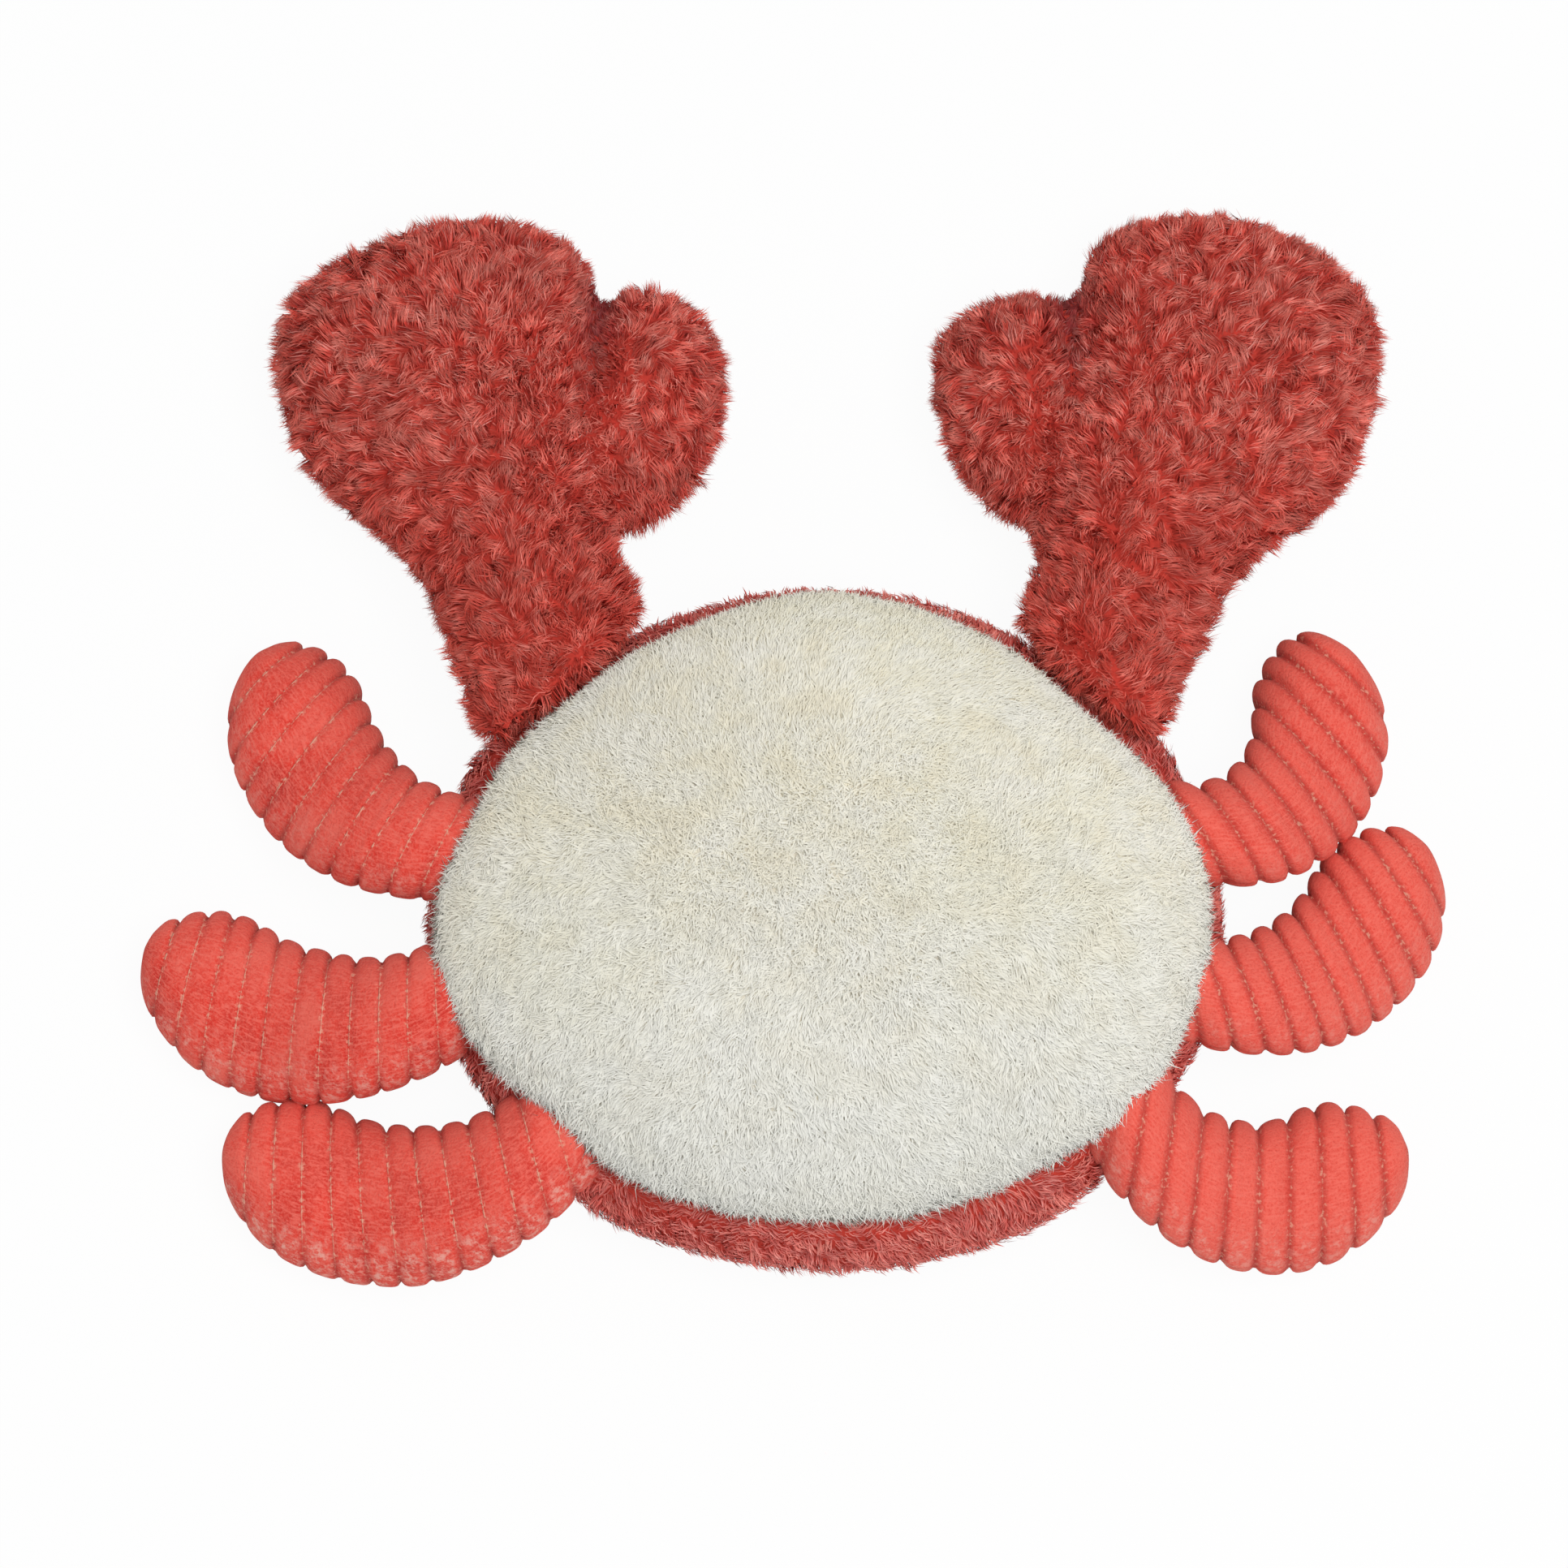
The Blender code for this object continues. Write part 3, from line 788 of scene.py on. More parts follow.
def makeBelly(belly):
    # The cream bag and two layers of pile on it, a thick one and a longer one of fewer, finer hairs
    bag = bagMesh("belly", "bellyBag", belly)
    bag.data.materials.append(skinMaterial("creamGround", belly["ground"]))
    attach(bag, "root")
    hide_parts("belly")
    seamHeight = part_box("belly")[0][2]

    def nearSeam(place, reach):
        # one at the seam's height, falling as a bell over the reach above it
        return np.exp(-(((place[:, 2] - seamHeight) / reach) ** 2))

    def frontShare(place):
        # a smooth step from nothing at the rear to one towards the claws
        begins, softness = belly["front"]
        return 1.0 / (1.0 + np.exp(-(place[:, 1] - begins) / softness))

    def comb(place, facing):
        # up above the parting and down below it, outwards to the sides and on the slopes,
        # strayed by noise
        middle, slope, reach = belly["parting"]
        asideMiddle, asideReach = belly["aside"]
        (riseSize, riseMost, riseSeed), (asideSize, asideMost, asideSeed) = belly["unruly"]
        seamWeaker, seamReach = belly["seamComb"]
        calm = 1.0 - belly["frontCalm"][0] * frontShare(place)
        above = (place[:, 1] - middle - slope * place[:, 0]) / reach
        rise = np.tanh(above + smoothNoise(place, riseSize, riseSeed) * riseMost * calm)
        aside = (place[:, 0] - asideMiddle) / asideReach
        aside = aside + smoothNoise(place, asideSize, asideSeed) * asideMost * calm
        flow = np.stack([aside, rise], axis=1) * (1.0 - seamWeaker * nearSeam(place, seamReach))[:, None]
        down = facing * [belly["outward"], belly["outward"], 0.0]
        return np.concatenate([flow, np.zeros((len(place), 1))], axis=1) + down

    def length(place):
        # longer over the rear seam, clipped towards the claws
        longer, reach = belly["seamLength"]
        clip, seamClip = belly["frontClip"]
        edge = nearSeam(place, reach)
        return 1.0 + longer * edge - frontShare(place) * (clip + seamClip * edge)

    field = {
        "comb": comb,
        "density": lambda place, facing: np.where(facing[:, 2] < belly["hidden"], 0.0, 1.0),
        "length": length,
        "unrest": lambda place: 1.0 - belly["frontCalm"][1] * frontShare(place),
        # painted light: the pile brightens towards the seam, to lift the shade there
        "hollow": lambda place: belly["seamPaintedLight"][0] * nearSeam(place, belly["seamPaintedLight"][1]),
    }
    material = pileMaterial("creamPile", belly["look"])
    topPile = {**belly["pile"], **belly["topPile"]}
    growPile("bellyPile", bag, field, material, "belly", belly["pile"])
    growPile("bellyTopPile", bag, field, material, "belly", topPile)


makeBelly(belly)
print("belly made")

# red plush: the back and the two claws

# glints are painted highlights on the pale tips of a few hairs, the gap colour is painted shade between
# the locks, and the crease colour painted shade in a crease
redLook = {
    "along": [(0.0, (0.44, 0.022, 0.014)), (0.4, (0.76, 0.060, 0.039)), (1.0, (0.99, 0.25, 0.185))],
    "glint": (0.70, (0.99, 0.57, 0.50)),
    # painted shade between the locks
    "gap": (0.45, (0.46, 0.024, 0.016)),
    # painted shade in a crease
    "paintedLightAndShadeColour": (0.20, 0.014, 0.020),
    "fade": (0.135, 0.095, 0.35, (0.66, 0.070, 0.045)),  # redder along the arms
    "patchScale": 22.0,
    "patch": 0.35,
    "patchColour": (0.60, 0.064, 0.044),
    "tuftScale": 190.0,
    "tuft": 0.72,
    "tuftPale": (0.96, 0.30, 0.235),
    "tuftDeep": (0.42, 0.020, 0.014),
    "lockShift": 0.20,
    "lockColour": (0.70, 0.110, 0.080),
    "lockUneven": 0.22,
    "uneven": 0.22,
    "roughness": 0.50,
    "shine": 0.16,
    "sheen": 0.05,
    "sheenTint": (1.0, 0.75, 0.70),
}

redPile = {
    "steps": 2,
    "length": 0.0054,
    "width": 0.00036,
    "stand": 6.0,
    "lay": 52.0,
    "leastLay": 0.7,
    "lockSize": 0.0040,
    "lockTurn": 0.55,
    "lockUneven": 0.12,
    "lockLay": 0.22,
    "uneven": 0.12,
    "stray": 0.42,
    "strayLay": 0.24,
    "wander": 1.7,
    "wanderSize": 0.020,
    "curl": 0.75,
    "clump": 0.40,
    "roll": 0.5,
    "soft": 0.78,
    "lift": 1.8,
    "dome": 1.3,
}

redMaterial = pileMaterial("redPile", redLook)
redGround = skinMaterial("redGround", (0.62, 0.062, 0.044))

back = {
    "inset": 0.0028,
    "seed": 9,
    "lump": 0.0014,
    "pushes": [
        (0.015, -0.088, 0.050, 0.0, -0.0042),
        (-0.055, -0.075, 0.030, -0.0008, -0.0022),
        (0.065, -0.075, 0.025, 0.0008, -0.0020),
        (0.0, 0.085, 0.050, 0.0, -0.0012),
        (-0.105, -0.010, 0.030, 0.0015, 0.0),
        (0.089, 0.044, 0.012, 0.0028, 0.0012),
        (-0.089, 0.043, 0.012, -0.0028, 0.0012),
    ],
    "under": (-0.75, 0.45),  # facing below which the pile is thinner, and by what share
    "covered": (0.75, 0.104, 0.086, 0.90),  # facing up by this much within this oval: no pile
    "droop": -0.7,
    "pile": {
        **redPile,
        "seed": 21,
        "hairs": 40000,
        "width": 0.00044,
        "length": 0.0037,
        "lay": 70.0,
        "lockTurn": 0.35,
        "stray": 0.25,
        "curl": 0.3,
        "clump": 0.25,
        "soft": 0.88,
        "lift": 1.8,
        "dome": 0.6,
    },
    "look": {
        "along": [(0.0, (0.50, 0.065, 0.056)), (0.4, (0.68, 0.120, 0.102)), (1.0, (0.90, 0.31, 0.28))],
        "fade": (-0.05, -0.10, 0.25, (0.88, 0.30, 0.26)),
        "lockUneven": 0.06,
        # painted shade between the locks
        "gap": (0.15, (0.50, 0.065, 0.056)),
    },
}


def makeBack(back):
    # The red bag under the belly and its pile, which shows at the rim
    bag = bagMesh("back", "backBag", back)
    bag.data.materials.append(redGround)
    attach(bag, "root")
    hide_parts("back")

    def density(place, facing):
        # thick round the rim, thinner underneath, none on the face that meets the belly
        level, thinner = back["under"]
        upward, halfWidth, halfDepth, share = back["covered"]
        side = np.where(facing[:, 2] < level, thinner, 1.0)
        within = np.hypot(place[:, 0] / halfWidth, place[:, 1] / halfDepth) < share
        covered = (facing[:, 2] > upward) & within
        return np.where(covered, 0.0, side)

    def comb(place, facing):
        # along the rim and a little down
        return unit(place[:, [1, 0, 2]] * [-1.0, 1.0, 0.0]) + [0.0, 0.0, back["droop"]]

    field = {
        "comb": comb,
        "density": density,
        "length": evenly,
        "unrest": evenly,
        "hollow": nowhere,
    }
    material = pileMaterial("rimPile", {**redLook, **back["look"]})
    growPile("backPile", bag, field, material, "back", back["pile"])


makeBack(back)
print("back made")

claws = {
    "inset": 0.0028,
    "lump": 0.0016,
    "hairs": 60000,  # on each claw
    "creaseDepth": 0.0050,
    "creasePile": 0.60,  # how much shorter the pile is in the crease
    "creaseShade": (0.85, 1.6),  # how dark the painted shade in the crease is, and the power that keeps this to its middle
    "droop": -0.4,
    "outward": 0.8,  # how much the comb follows the slopes down
    "under": (-0.6, 0.5),  # facing below which the pile is thinner, and by what share
    "claw_left": {
        "seed": 31,
        "comb": 30.0,  # direction that the pile is brushed in
        "thumb": (0.044, 0.140, 0.026, 170.0),  # middle, reach and its own pile's direction
        "crease": ((0.066, 0.168), (0.066, 0.128), 0.0075),
        "pushes": [
            (0.116, 0.182, 0.025, 0.0018, 0.0030),
            (0.045, 0.168, 0.019, 0.0008, -0.0065),
            (0.044, 0.109, 0.012, 0.0025, 0.0),
            (0.103, 0.080, 0.015, 0.0012, 0.0),
            (0.128, 0.110, 0.024, 0.0032, -0.0008),
            (0.042, 0.140, 0.015, 0.0020, 0.0),
            (0.050, 0.077, 0.010, -0.0016, -0.0012),
            (0.089, 0.057, 0.011, -0.0020, 0.0),
            (0.076, 0.064, 0.018, -0.0006, -0.0025),
        ],
    },
    "claw_right": {
        "seed": 47,
        "comb": 165.0,
        "thumb": (-0.040, 0.138, 0.030, -15.0),
        "crease": ((-0.059, 0.168), (-0.062, 0.128), 0.0075),
        "pushes": [
            (-0.040, 0.166, 0.016, -0.0008, -0.0018),
            (-0.062, 0.176, 0.011, 0.0030, 0.0014),
            (-0.126, 0.176, 0.020, 0.0008, -0.0012),
            (-0.109, 0.088, 0.012, 0.0015, 0.0),
            (-0.052, 0.086, 0.012, 0.0042, 0.0),
            (-0.030, 0.130, 0.012, 0.0012, 0.0),
            (-0.076, 0.064, 0.018, 0.0012, -0.0025),
        ],
    },
}


def makeClaw(node, claw):
    # Arm, finger and thumb as one bag with a crease, and its pile
    side = node.split("_")[1]
    bag = bagMesh(node, side + "ClawBag", claw)
    bag.data.materials.append(redGround)
    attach(bag, "root")
    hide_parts(node)

    def comb(place, facing):
        # one way over the arm and finger and another over the thumb, outwards and down at the edges
        x, y, reach, thumbWay = claw["thumb"]
        thumb = np.exp(-(((place[:, :2] - [x, y]) ** 2).sum(axis=1) / reach**2) ** 2)[:, None]
        way = heading(claw["comb"]) * (1.0 - thumb) + heading(thumbWay) * thumb
        down = np.full((len(place), 1), claw["droop"])
        return np.concatenate([way, down], axis=1) + facing * [claw["outward"], claw["outward"], 0.0]

    level, thinner = claw["under"]
    dark, power = claw["creaseShade"]
    field = {
        "comb": comb,
        "density": lambda place, facing: np.where(facing[:, 2] < level, thinner, 1.0),
        "length": lambda place: 1.0 - claw["creasePile"] * creaseDepth(place, claw["crease"]),
        "unrest": evenly,
        # painted shade in the crease
        "hollow": lambda place: dark * creaseDepth(place, claw["crease"]) ** power,
    }
    pile = {**redPile, "seed": claw["seed"], "hairs": claw["hairs"]}
    growPile(side + "ClawPile", bag, field, redMaterial, node, pile)


for node in ("claw_left", "claw_right"):
    makeClaw(node, {**claws, **claws[node]})
print("claws made")

# corduroy legs

legs = {
    "length": 0.085,
    "width": 0.038,
    "thickness": 0.032,
    "rootShare": 0.71,  # of the width
    "fullAt": 0.63,  # share of the length at which the leg is widest
    "innerPower": 3.2,  # how bluntly the tip rounds off inside the bend
    "outerPower": 2.0,  # and outside it
    "tuck": 0.034,  # length behind the body's seam
    "rootHeight": 0.040,
    "restHeight": 0.015,
    "ribPitch": 0.0076,
    "ribFan": 0.240,  # how far away the point is that the ribs fan out from
    "steps": 160,  # along the middle line
    "ringsPerRib": 10,
    "tipRings": 15,
    "sides": 88,
    "settled": 0.7,  # share of the length at which the leg has come down to the table
    "tipThin": 0.6,  # power of the thickness where the leg gets narrow
    "tipCalm": 0.25,  # share of the reach below which the ribs die away
    "aboveTable": 0.0006,
    "ribs": {"right": (0.0007, 4.0), "left": (0.0016, 2.9)},  # depth of the grooves on top, flatness
    "innerRibs": (0.0026, 2.4),  # added depth and flatness on the inside of the bend
    "seamRibs": (0.0012, 0.0005),  # added depth at the sewn seam, and how far the ribs swell there
    "seamPinch": 0.0010,
    "puff": 0.0011,  # outwards all over
    "plump": 0.0007,  # in and out by noise
    "plumpNoise": (31.0, 1.6),  # shift and size of that noise
    "sway": 0.14,  # how far a groove wanders, in ribs
    "noiseRun": (0.9, 1.4),  # how fast the noise runs along a rib's width and round the leg
    "near": {"inner": 0.95, "seam": 0.42, "stitch": 0.07},  # reach round the leg, in radians
    "seamRoot": (0.206, 0.085, 0.084, 1.8, 2.05),  # body width, front and rear reach, their roundness
    # name: (angle round the body, root heading, bend, length share, width share, rib slant)
    "leg_left_front": (16.5, -3.0, 135.0, 0.92, 0.93, 34.0),
    "leg_left_middle": (-14.0, -9.5, 104.0, 0.94, 0.98, 27.0),
    "leg_left_rear": (-39.0, -60.5, 123.0, 0.98, 1.01, 50.0),
    "leg_right_front": (166.5, 169.5, -87.5, 0.95, 0.99, 16.0),
    "leg_right_middle": (195.5, 207.5, -89.0, 1.03, 1.05, 24.0),
    "leg_right_rear": (226.0, 224.0, -100.0, 1.10, 1.08, 28.0),
}


def seamPlace(angle, legs):
    # A point of the body's outline: two half superellipses that share their width
    width, front, rear, frontPower, rearPower = legs["seamRoot"]
    across, along = heading(angle)
    reach, power = (front, frontPower) if along >= 0 else (rear, rearPower)
    half = np.abs([across, along]) ** (2.0 / power)
    return np.array([math.copysign(half[0] * width / 2.0, across), math.copysign(half[1] * reach, along)])


def legEdges(pose, legs):
    # Both edges of a leg from above: a middle line that starts straight behind the seam and then turns
    # evenly, with half widths that swell from the root and round off to the tip
    angle, start, bend, lengthShare, widthShare, _ = pose
    length = legs["length"] * lengthShare
    along = np.linspace(-legs["tuck"], length, legs["steps"] + 1)
    share = np.clip(along / length, 0.0, 1.0)
    turned = start + bend * share
    step = (length + legs["tuck"]) / legs["steps"]
    middle = seamPlace(angle, legs) - heading(start) * legs["tuck"]
    middle = middle + np.concatenate([[[0.0, 0.0]], np.cumsum(heading(turned[1:]) * step, axis=0)])
    side = heading(turned + math.copysign(90.0, bend))
    swell = np.sin(np.minimum(1.0, share / legs["fullAt"]) * np.pi / 2.0)
    full = legs["width"] * widthShare / 2.0 * (legs["rootShare"] + (1.0 - legs["rootShare"]) * swell)
    tip = np.maximum(0.0, (share - legs["fullAt"]) / (1.0 - legs["fullAt"]))
    inner = middle + side * (full * np.sqrt(np.maximum(0.0, 1.0 - tip ** legs["innerPower"])))[:, None]
    outer = middle - side * (full * np.sqrt(np.maximum(0.0, 1.0 - tip ** legs["outerPower"])))[:, None]
    return inner, outer, length


def makeLeg(node, legs, material, seed):
    # Rings are cuts across the leg that fan out from one far point on the inside of the bend, as the
    # ribs do. A ring is an ellipse between the cut's two ends; it is drawn in at the grooves
    pose = legs[node]
    rootAngle, start, bend, _, _, slant = pose
    inner, outer, length = legEdges(pose, legs)
    around = np.concatenate([inner, outer[::-1]])
    turning = math.copysign(1.0, bend)
    arm = heading(start + turning * (slant - 90.0)) * legs["ribFan"]
    rays = around - (seamPlace(rootAngle, legs) - arm)
    depth = turning * np.arctan2(arm[0] * rays[:, 1] - arm[1] * rays[:, 0], rays @ arm)
    tip = int(np.argmax(depth))
    first, last = max(depth[0], depth[-1]), depth[tip]
    ribs = round((last - first) * legs["ribFan"] / legs["ribPitch"])

    even = np.arange(ribs * legs["ringsPerRib"] + 1) / legs["ringsPerRib"]
    # closer rings where the tip rounds off
    fine = ribs - (1.0 - np.linspace(0.0, 1.0, legs["tipRings"] + 1)[1:]) ** 2
    rib = np.concatenate([even[even <= ribs - 1.0], fine])
    at = first + (last - first) * rib / ribs
    ends = []
    for line, far in ((around[: tip + 1], depth[: tip + 1]), (around[tip:][::-1], depth[tip:][::-1])):
        rising = np.maximum.accumulate(far) + np.arange(len(far)) * 1e-9
        ends.append(np.stack([np.interp(at, rising, line[:, axis]) for axis in range(2)], axis=1))
    # inner end first, so that the seam on the outside of the bend lies at half a turn
    innerEnd, outerEnd = ends
    middle, half = (innerEnd + outerEnd) / 2.0, (innerEnd - outerEnd) / 2.0
    reach = np.linalg.norm(half, axis=1)
    line = (inner + outer) / 2.0
    nearest = np.argmin(np.linalg.norm(middle[:, None] - line[None], axis=2), axis=1)
    way = np.maximum(0.0, nearest / legs["steps"] * (length + legs["tuck"]) - legs["tuck"]) / length
    fall = np.minimum(1.0, way / legs["settled"])
    height = legs["rootHeight"] + (legs["restHeight"] - legs["rootHeight"]) * (3 * fall**2 - 2 * fall**3)
    thick = legs["thickness"] / 2.0 * np.minimum(1.0, reach / reach.max()) ** legs["tipThin"]

    angle = np.arange(legs["sides"]) / legs["sides"] * 2.0 * np.pi
    ribAt, angleAt = np.meshgrid(rib, angle, indexing="ij")
    alongRun, roundRun = legs["noiseRun"]
    level, upright = np.cos(angleAt) * roundRun, np.sin(angleAt) * roundRun
    shapeOf = np.stack([ribAt * alongRun, level, upright], axis=-1).reshape(-1, 3)
    sway = smoothNoise(shapeOf, 1.0, seed).reshape(ribAt.shape)
    part = (ribAt + sway * legs["sway"]) % 1.0

    def nearAngle(middle, reach):
        # one at an angle round the leg, falling as a bell to both sides
        return np.exp(-((np.angle(np.exp(1j * (angleAt - middle))) / reach) ** 2))

    nearInner = nearAngle(0.0, legs["near"]["inner"])
    nearSeam = nearAngle(np.pi, legs["near"]["seam"])
    topGroove, flatness = legs["ribs"][node.split("_")[1]]
    innerGroove, innerFlatness = legs["innerRibs"]
    seamGroove, seamSwell = legs["seamRibs"]
    power = flatness - (flatness - innerFlatness) * nearInner
    crown = np.sqrt(np.maximum(0.0, 1.0 - np.abs(part * 2.0 - 1.0) ** power))
    shift, size = legs["plumpNoise"]
    plump = smoothNoise(shapeOf + shift, size, seed + 5).reshape(ribAt.shape)
    groove = topGroove + innerGroove * nearInner + seamGroove * nearSeam
    drawIn = groove * (1.0 - crown) - legs["puff"] - legs["plump"] * plump - seamSwell * nearSeam * crown
    drawIn += legs["seamPinch"] * nearAngle(np.pi, legs["near"]["stitch"])
    calm = np.minimum(1.0, reach / (legs["tipCalm"] * reach.max()))[:, None]
    drawIn *= calm

    towards = half / np.maximum(reach, 1e-9)[:, None]
    out = np.maximum(0.0, reach[:, None] - drawIn) * np.cos(angleAt)
    up = np.maximum(0.0, thick[:, None] - drawIn) * np.sin(angleAt)
    points = np.empty((*ribAt.shape, 3))
    points[..., :2] = middle[:, None] + towards[:, None] * out[..., None]
    points[..., 2] = np.maximum(height[:, None] + up, legs["aboveTable"])
    points[0, :, :2], points[0, :, 2] = middle[0], height[0]
    points[-1, :, :2], points[-1, :, 2] = middle[-1], height[-1]

    rings, sides = ribAt.shape
    ring, spoke = np.meshgrid(np.arange(rings - 1), np.arange(sides), indexing="ij")
    after = (spoke + 1) % sides
    near, far = ring * sides, (ring + 1) * sides
    quads = np.stack([near + spoke, near + after, far + after, far + spoke], axis=-1)
    if turning < 0:
        quads = quads[..., ::-1]
    pieceName = node.replace("leg_", "") + "Leg"
    mesh = meshFrom(pieceName, points.reshape(-1, 3), quads.ravel(), np.full(quads.shape[0] * sides, 4))
    uvSpoke = np.stack([spoke, spoke + 1, spoke + 1, spoke], axis=-1)
    uvRing = np.stack([ring, ring, ring + 1, ring + 1], axis=-1)
    if turning < 0:
        uvSpoke, uvRing = uvSpoke[..., ::-1], uvRing[..., ::-1]
    for name, scale in (("cloth", 1.0), ("OFBake", 1.0 / ribs)):
        layer = mesh.uv_layers.new(name=name)
        spots = np.stack([rib[uvRing] * scale, uvSpoke / sides], axis=-1)
        layer.uv.foreach_set("vector", spots.reshape(-1, 2).astype(np.float32).ravel())
    shape = bmesh.new()
    shape.from_mesh(mesh)
    bmesh.ops.remove_doubles(shape, verts=shape.verts, dist=1e-6)
    bmesh.ops.recalc_face_normals(shape, faces=shape.faces)
    shape.to_mesh(mesh)
    shape.free()
    piece = pieceFrom(mesh, material, node)
    print(node, "ribs", ribs, "faces", len(mesh.polygons))
    return piece


corduroy = {
    "nap": (0.87, 0.056, 0.037),
    # a paler nap tone, also used for painted light and painted highlights
    "napPaleAndHighlight": (0.94, 0.145, 0.105),
    "napBright": (0.98, 0.188, 0.142),
    "napDark": (0.68, 0.036, 0.026),
    "grooveShadeColour": (0.44, 0.026, 0.022),
    "threadColour": (1.0, 0.56, 0.40),
    "wornColour": (0.97, 0.46, 0.38),
    "bump": (0.7, 0.0007, 0.8),  # strength, depth and how much the thread stands up
    # noises: how fine, how detailed and how rough
    "broadNoise": (70.0, 3.0),
    "fineNoise": (1500.0, 3.0, 0.7),
    "speckNoise": (900.0, 2.0),
    "wornNoise": (420.0, 3.0, 0.75),
    "streakNoise": (1.0, 2.0, 0.6),
    "streakRun": (2.5, 150.0, 1.0),  # across a rib, round the leg
    "napStops": (0.37, 0.5, 0.68),
    # spreads: from and to which value, and then how little and how much of the colour
    "innerPale": (0.20, 0.38, 0.0, 0.5),
    # painted light on the legs towards the rear and the crab's left
    "asidePaintedLight": (-0.05, 0.19, 0.0, 0.65),
    "leftward": (-0.06, 0.06),
    # painted highlight on the rib crowns
    "crestHighlight": (0.16, 0.46),
    "fineBright": (0.46, 0.66, 0.0, 0.70),
    "fineDark": (0.48, 0.30, 0.0, 0.50),
    "streak": (0.48, 0.64, 0.0, 0.75),
    "top": (0.18, 0.08),
    "shade": (0.0, 0.20, 0.80, 0.0),
    "thread": (0.030, 0.010, 0.0, 0.60),
    "breaks": (0.40, 0.54),
    "rubbed": (0.16, 0.05, 0.0, 0.45),
    "specks": (0.56, 0.64),
    "wornSpots": (0.48, 0.64),
    "wornReach": (0.14, 0.06),
    "wornCrest": (0.08, 0.30, 0.35, 1.0),
    "wornRear": (0.02, -0.08, 0.35, 1.0),
    # shares on the crab's right and left legs
    "crestHighlightSides": (0.20, 0.65),
    "litTopSides": (0.8, 0.2),
    "threadSides": (1.0, 0.28),
    "wornSides": (0.9, 0.5),
    # places round the leg on the cloth map: the top counted from the seam, and the worn line
    "topAt": 0.24,
    "wornAt": 0.46,
}


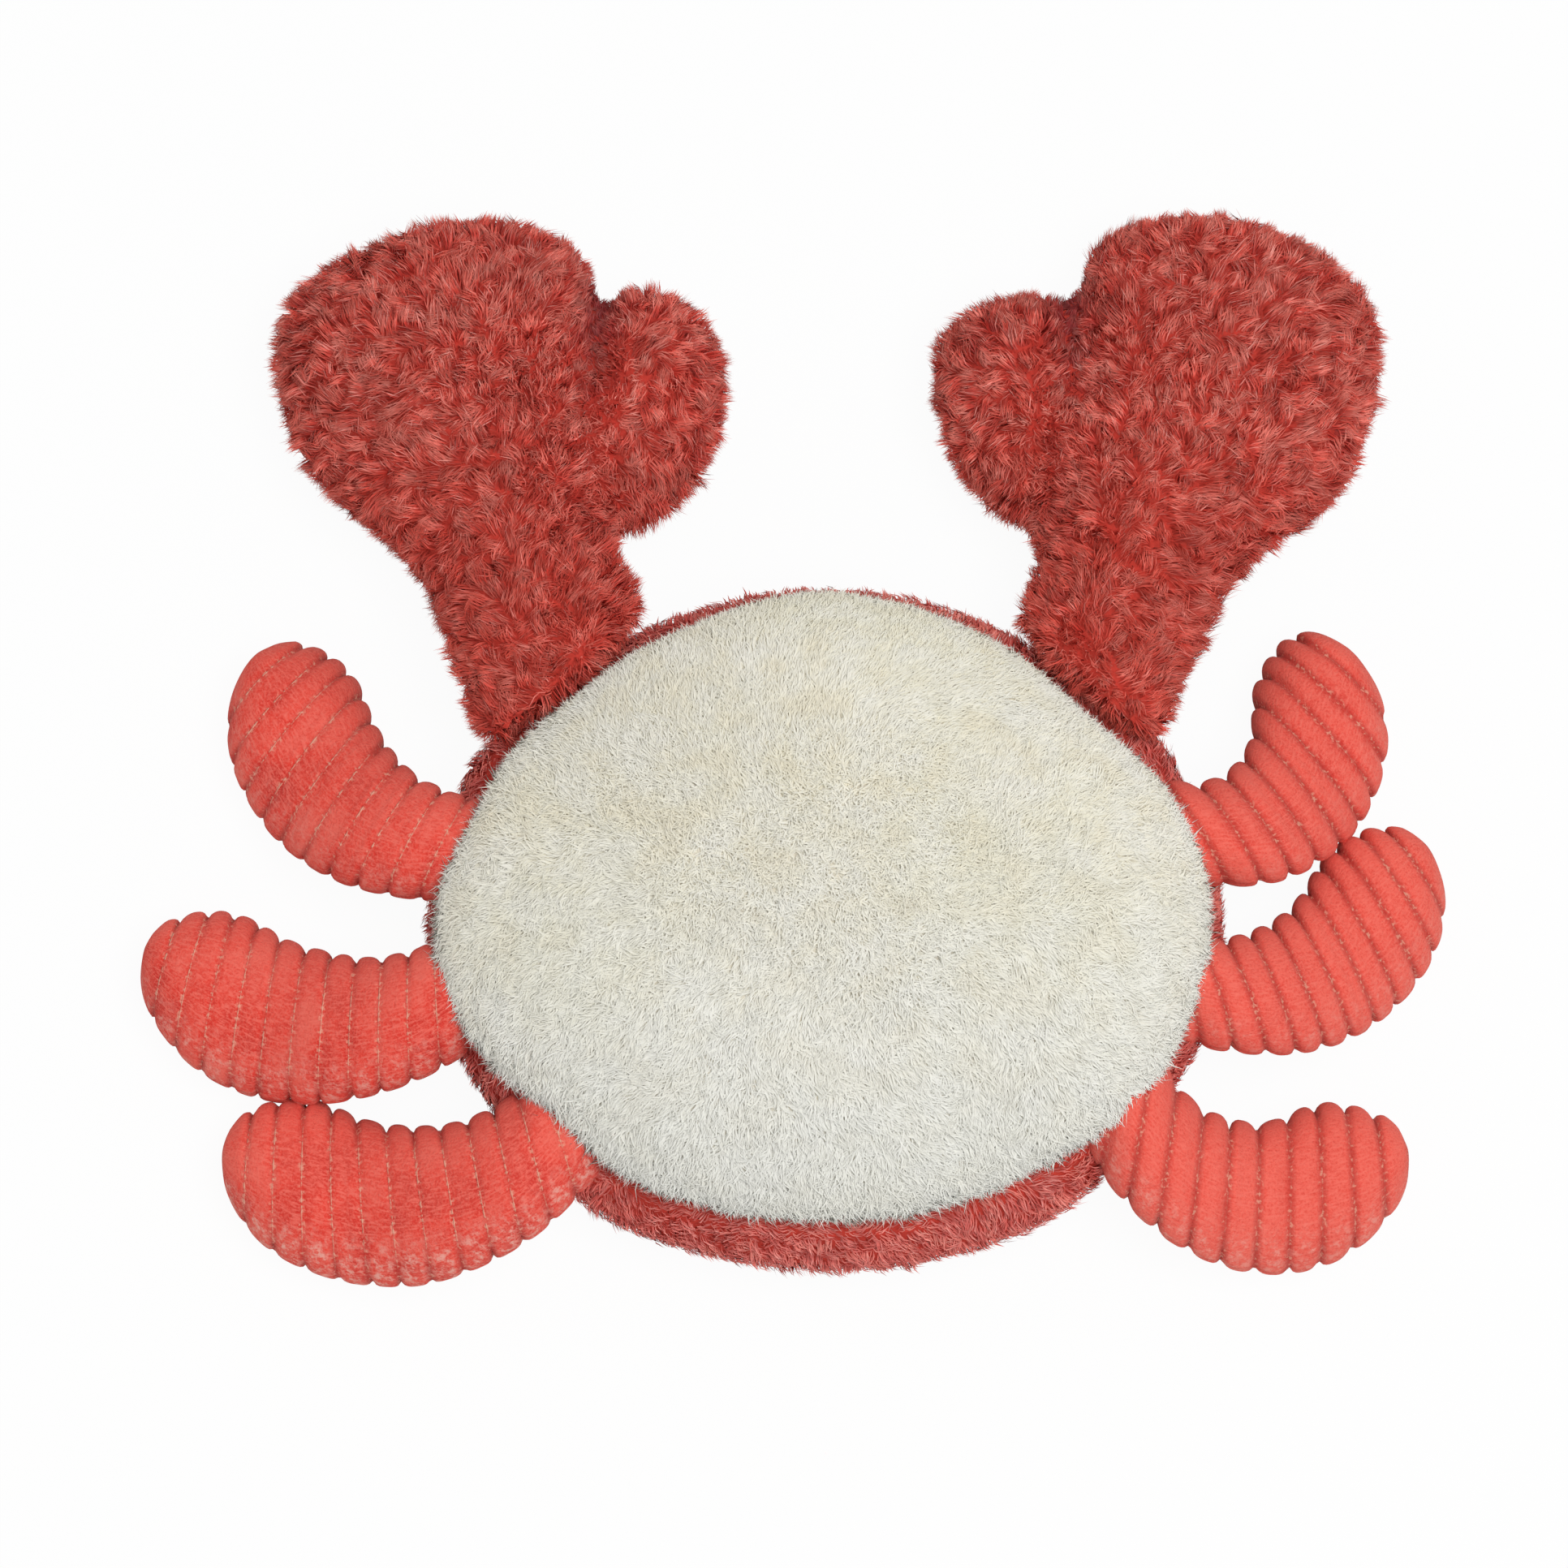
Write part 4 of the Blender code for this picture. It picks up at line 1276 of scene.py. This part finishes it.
def corduroyMaterial(corduroy):
    # On the cloth map, U counts the ribs and V goes round the leg, with the sewn seam at a half
    material = bpy.data.materials.new("coralCorduroy")
    nodes, links, shader = nodesOf(material)
    cloth = nodes.new("ShaderNodeUVMap")
    cloth.uv_map = "cloth"
    split = nodes.new("ShaderNodeSeparateXYZ")
    links.new(cloth.outputs[0], split.inputs[0])
    place = nodes.new("ShaderNodeSeparateXYZ")
    links.new(nodes.new("ShaderNodeTexCoord").outputs["Object"], place.inputs[0])

    def maths(kind, *values):
        node = nodes.new("ShaderNodeMath")
        node.operation = kind
        for socket, value in zip(node.inputs, values):
            if isinstance(value, (int, float)):
                socket.default_value = value
            else:
                links.new(value, socket)
        return node.outputs[0]

    def spread(*values):
        return spreadNode(nodes, links, *values)

    def blend(*values):
        return mixNode(nodes, links, *values)

    ribPart = maths("FRACT", split.outputs["X"])
    toGroove = maths("SUBTRACT", 0.5, maths("ABSOLUTE", maths("SUBTRACT", ribPart, 0.5)))
    # nothing at the seam and 0.5 inside the bend
    toSeam = maths("ABSOLUTE", maths("SUBTRACT", split.outputs["Y"], 0.5))
    broad = noiseNode(nodes, links, *corduroy["broadNoise"])
    fine = noiseNode(nodes, links, *corduroy["fineNoise"])
    napColours = (corduroy["napDark"], corduroy["nap"], corduroy["napPaleAndHighlight"])
    colour = rampNode(nodes, links, broad, list(zip(corduroy["napStops"], napColours)))
    # the nap is paler inside the bend, and painted light makes it paler on the legs towards the rear and
    # the crab's left, the side the lamp falls from
    colour = blend(spread(toSeam, *corduroy["innerPale"]), colour, corduroy["napPaleAndHighlight"])
    aside = maths("SUBTRACT", place.outputs["X"], place.outputs["Y"])
    colour = blend(spread(aside, *corduroy["asidePaintedLight"]), colour, corduroy["napPaleAndHighlight"])
    leftward = spread(place.outputs["X"], *corduroy["leftward"])

    def bySide(name):
        return spread(leftward, 0.0, 1.0, *corduroy[name])

    # painted highlight on the rib crowns
    crestHighlight = maths("MULTIPLY", spread(toGroove, *corduroy["crestHighlight"]), bySide("crestHighlightSides"))
    colour = blend(crestHighlight, colour, corduroy["napPaleAndHighlight"])
    colour = blend(spread(fine, *corduroy["fineBright"]), colour, corduroy["napBright"])
    colour = blend(spread(fine, *corduroy["fineDark"]), colour, corduroy["napDark"])
    # short streaks in the nap across each rib
    streakPlace = nodes.new("ShaderNodeVectorMath")
    streakPlace.operation = "MULTIPLY"
    streakPlace.inputs[1].default_value = corduroy["streakRun"]
    links.new(cloth.outputs[0], streakPlace.inputs[0])
    streak = noiseNode(nodes, links, *corduroy["streakNoise"], streakPlace.outputs[0])
    colour = blend(spread(streak, *corduroy["streak"]), colour, corduroy["napBright"])
    # grooves: painted shade in them, less on top, with broken threads in them
    onTop = spread(maths("ABSOLUTE", maths("SUBTRACT", toSeam, corduroy["topAt"])), *corduroy["top"])
    litTop = maths("MULTIPLY", onTop, bySide("litTopSides"))
    shade = maths("MULTIPLY", spread(toGroove, *corduroy["shade"]), maths("SUBTRACT", 1.0, litTop))
    colour = blend(shade, colour, corduroy["grooveShadeColour"])
    speck = noiseNode(nodes, links, *corduroy["speckNoise"])
    thread = maths("MULTIPLY", spread(toGroove, *corduroy["thread"]), spread(speck, *corduroy["breaks"]))
    thread = maths("MULTIPLY", maths("MULTIPLY", thread, onTop), bySide("threadSides"))
    colour = blend(thread, colour, corduroy["threadColour"])
    rubbed = maths("MULTIPLY", spread(toGroove, *corduroy["rubbed"]), spread(speck, *corduroy["specks"]))
    colour = blend(rubbed, colour, corduroy["threadColour"])
    # worn pale at the ribs' ends along the sewn seam, most of all on the rear legs
    wornPatch = spread(noiseNode(nodes, links, *corduroy["wornNoise"]), *corduroy["wornSpots"])
    toWorn = maths("ABSOLUTE", maths("SUBTRACT", split.outputs["Y"], corduroy["wornAt"]))
    atCrest = spread(toGroove, *corduroy["wornCrest"])
    ends = maths("MULTIPLY", spread(toWorn, *corduroy["wornReach"]), atCrest)
    wornLeg = maths("MULTIPLY", spread(place.outputs["Y"], *corduroy["wornRear"]), bySide("wornSides"))
    worn = maths("MULTIPLY", maths("MULTIPLY", ends, wornPatch), wornLeg)
    colour = blend(worn, colour, corduroy["wornColour"])
    links.new(colour, shader.inputs["Base Color"])
    strength, depth, threadUp = corduroy["bump"]
    bump = nodes.new("ShaderNodeBump")
    bump.inputs["Strength"].default_value = strength
    bump.inputs["Distance"].default_value = depth
    links.new(maths("ADD", fine, maths("MULTIPLY", thread, threadUp)), bump.inputs["Height"])
    links.new(bump.outputs[0], shader.inputs["Normal"])
    shader.inputs["Roughness"].default_value = 0.85
    shader.inputs["Specular IOR Level"].default_value = 0.15
    shader.inputs["Sheen Weight"].default_value = 0.2
    shader.inputs["Sheen Roughness"].default_value = 0.4
    shader.inputs["Sheen Tint"].default_value = (1.0, 0.50, 0.42, 1.0)
    return material


coral = corduroyMaterial(corduroy)
for number, node in enumerate(name for name in legs if name.startswith("leg_")):
    makeLeg(node, legs, coral, 100 + number * 7)
print("legs made")

made = [o for o in bpy.data.objects if o.type == "MESH" and o.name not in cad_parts]
print("triangles", sum(len(p.vertices) - 2 for o in made for p in o.data.polygons))
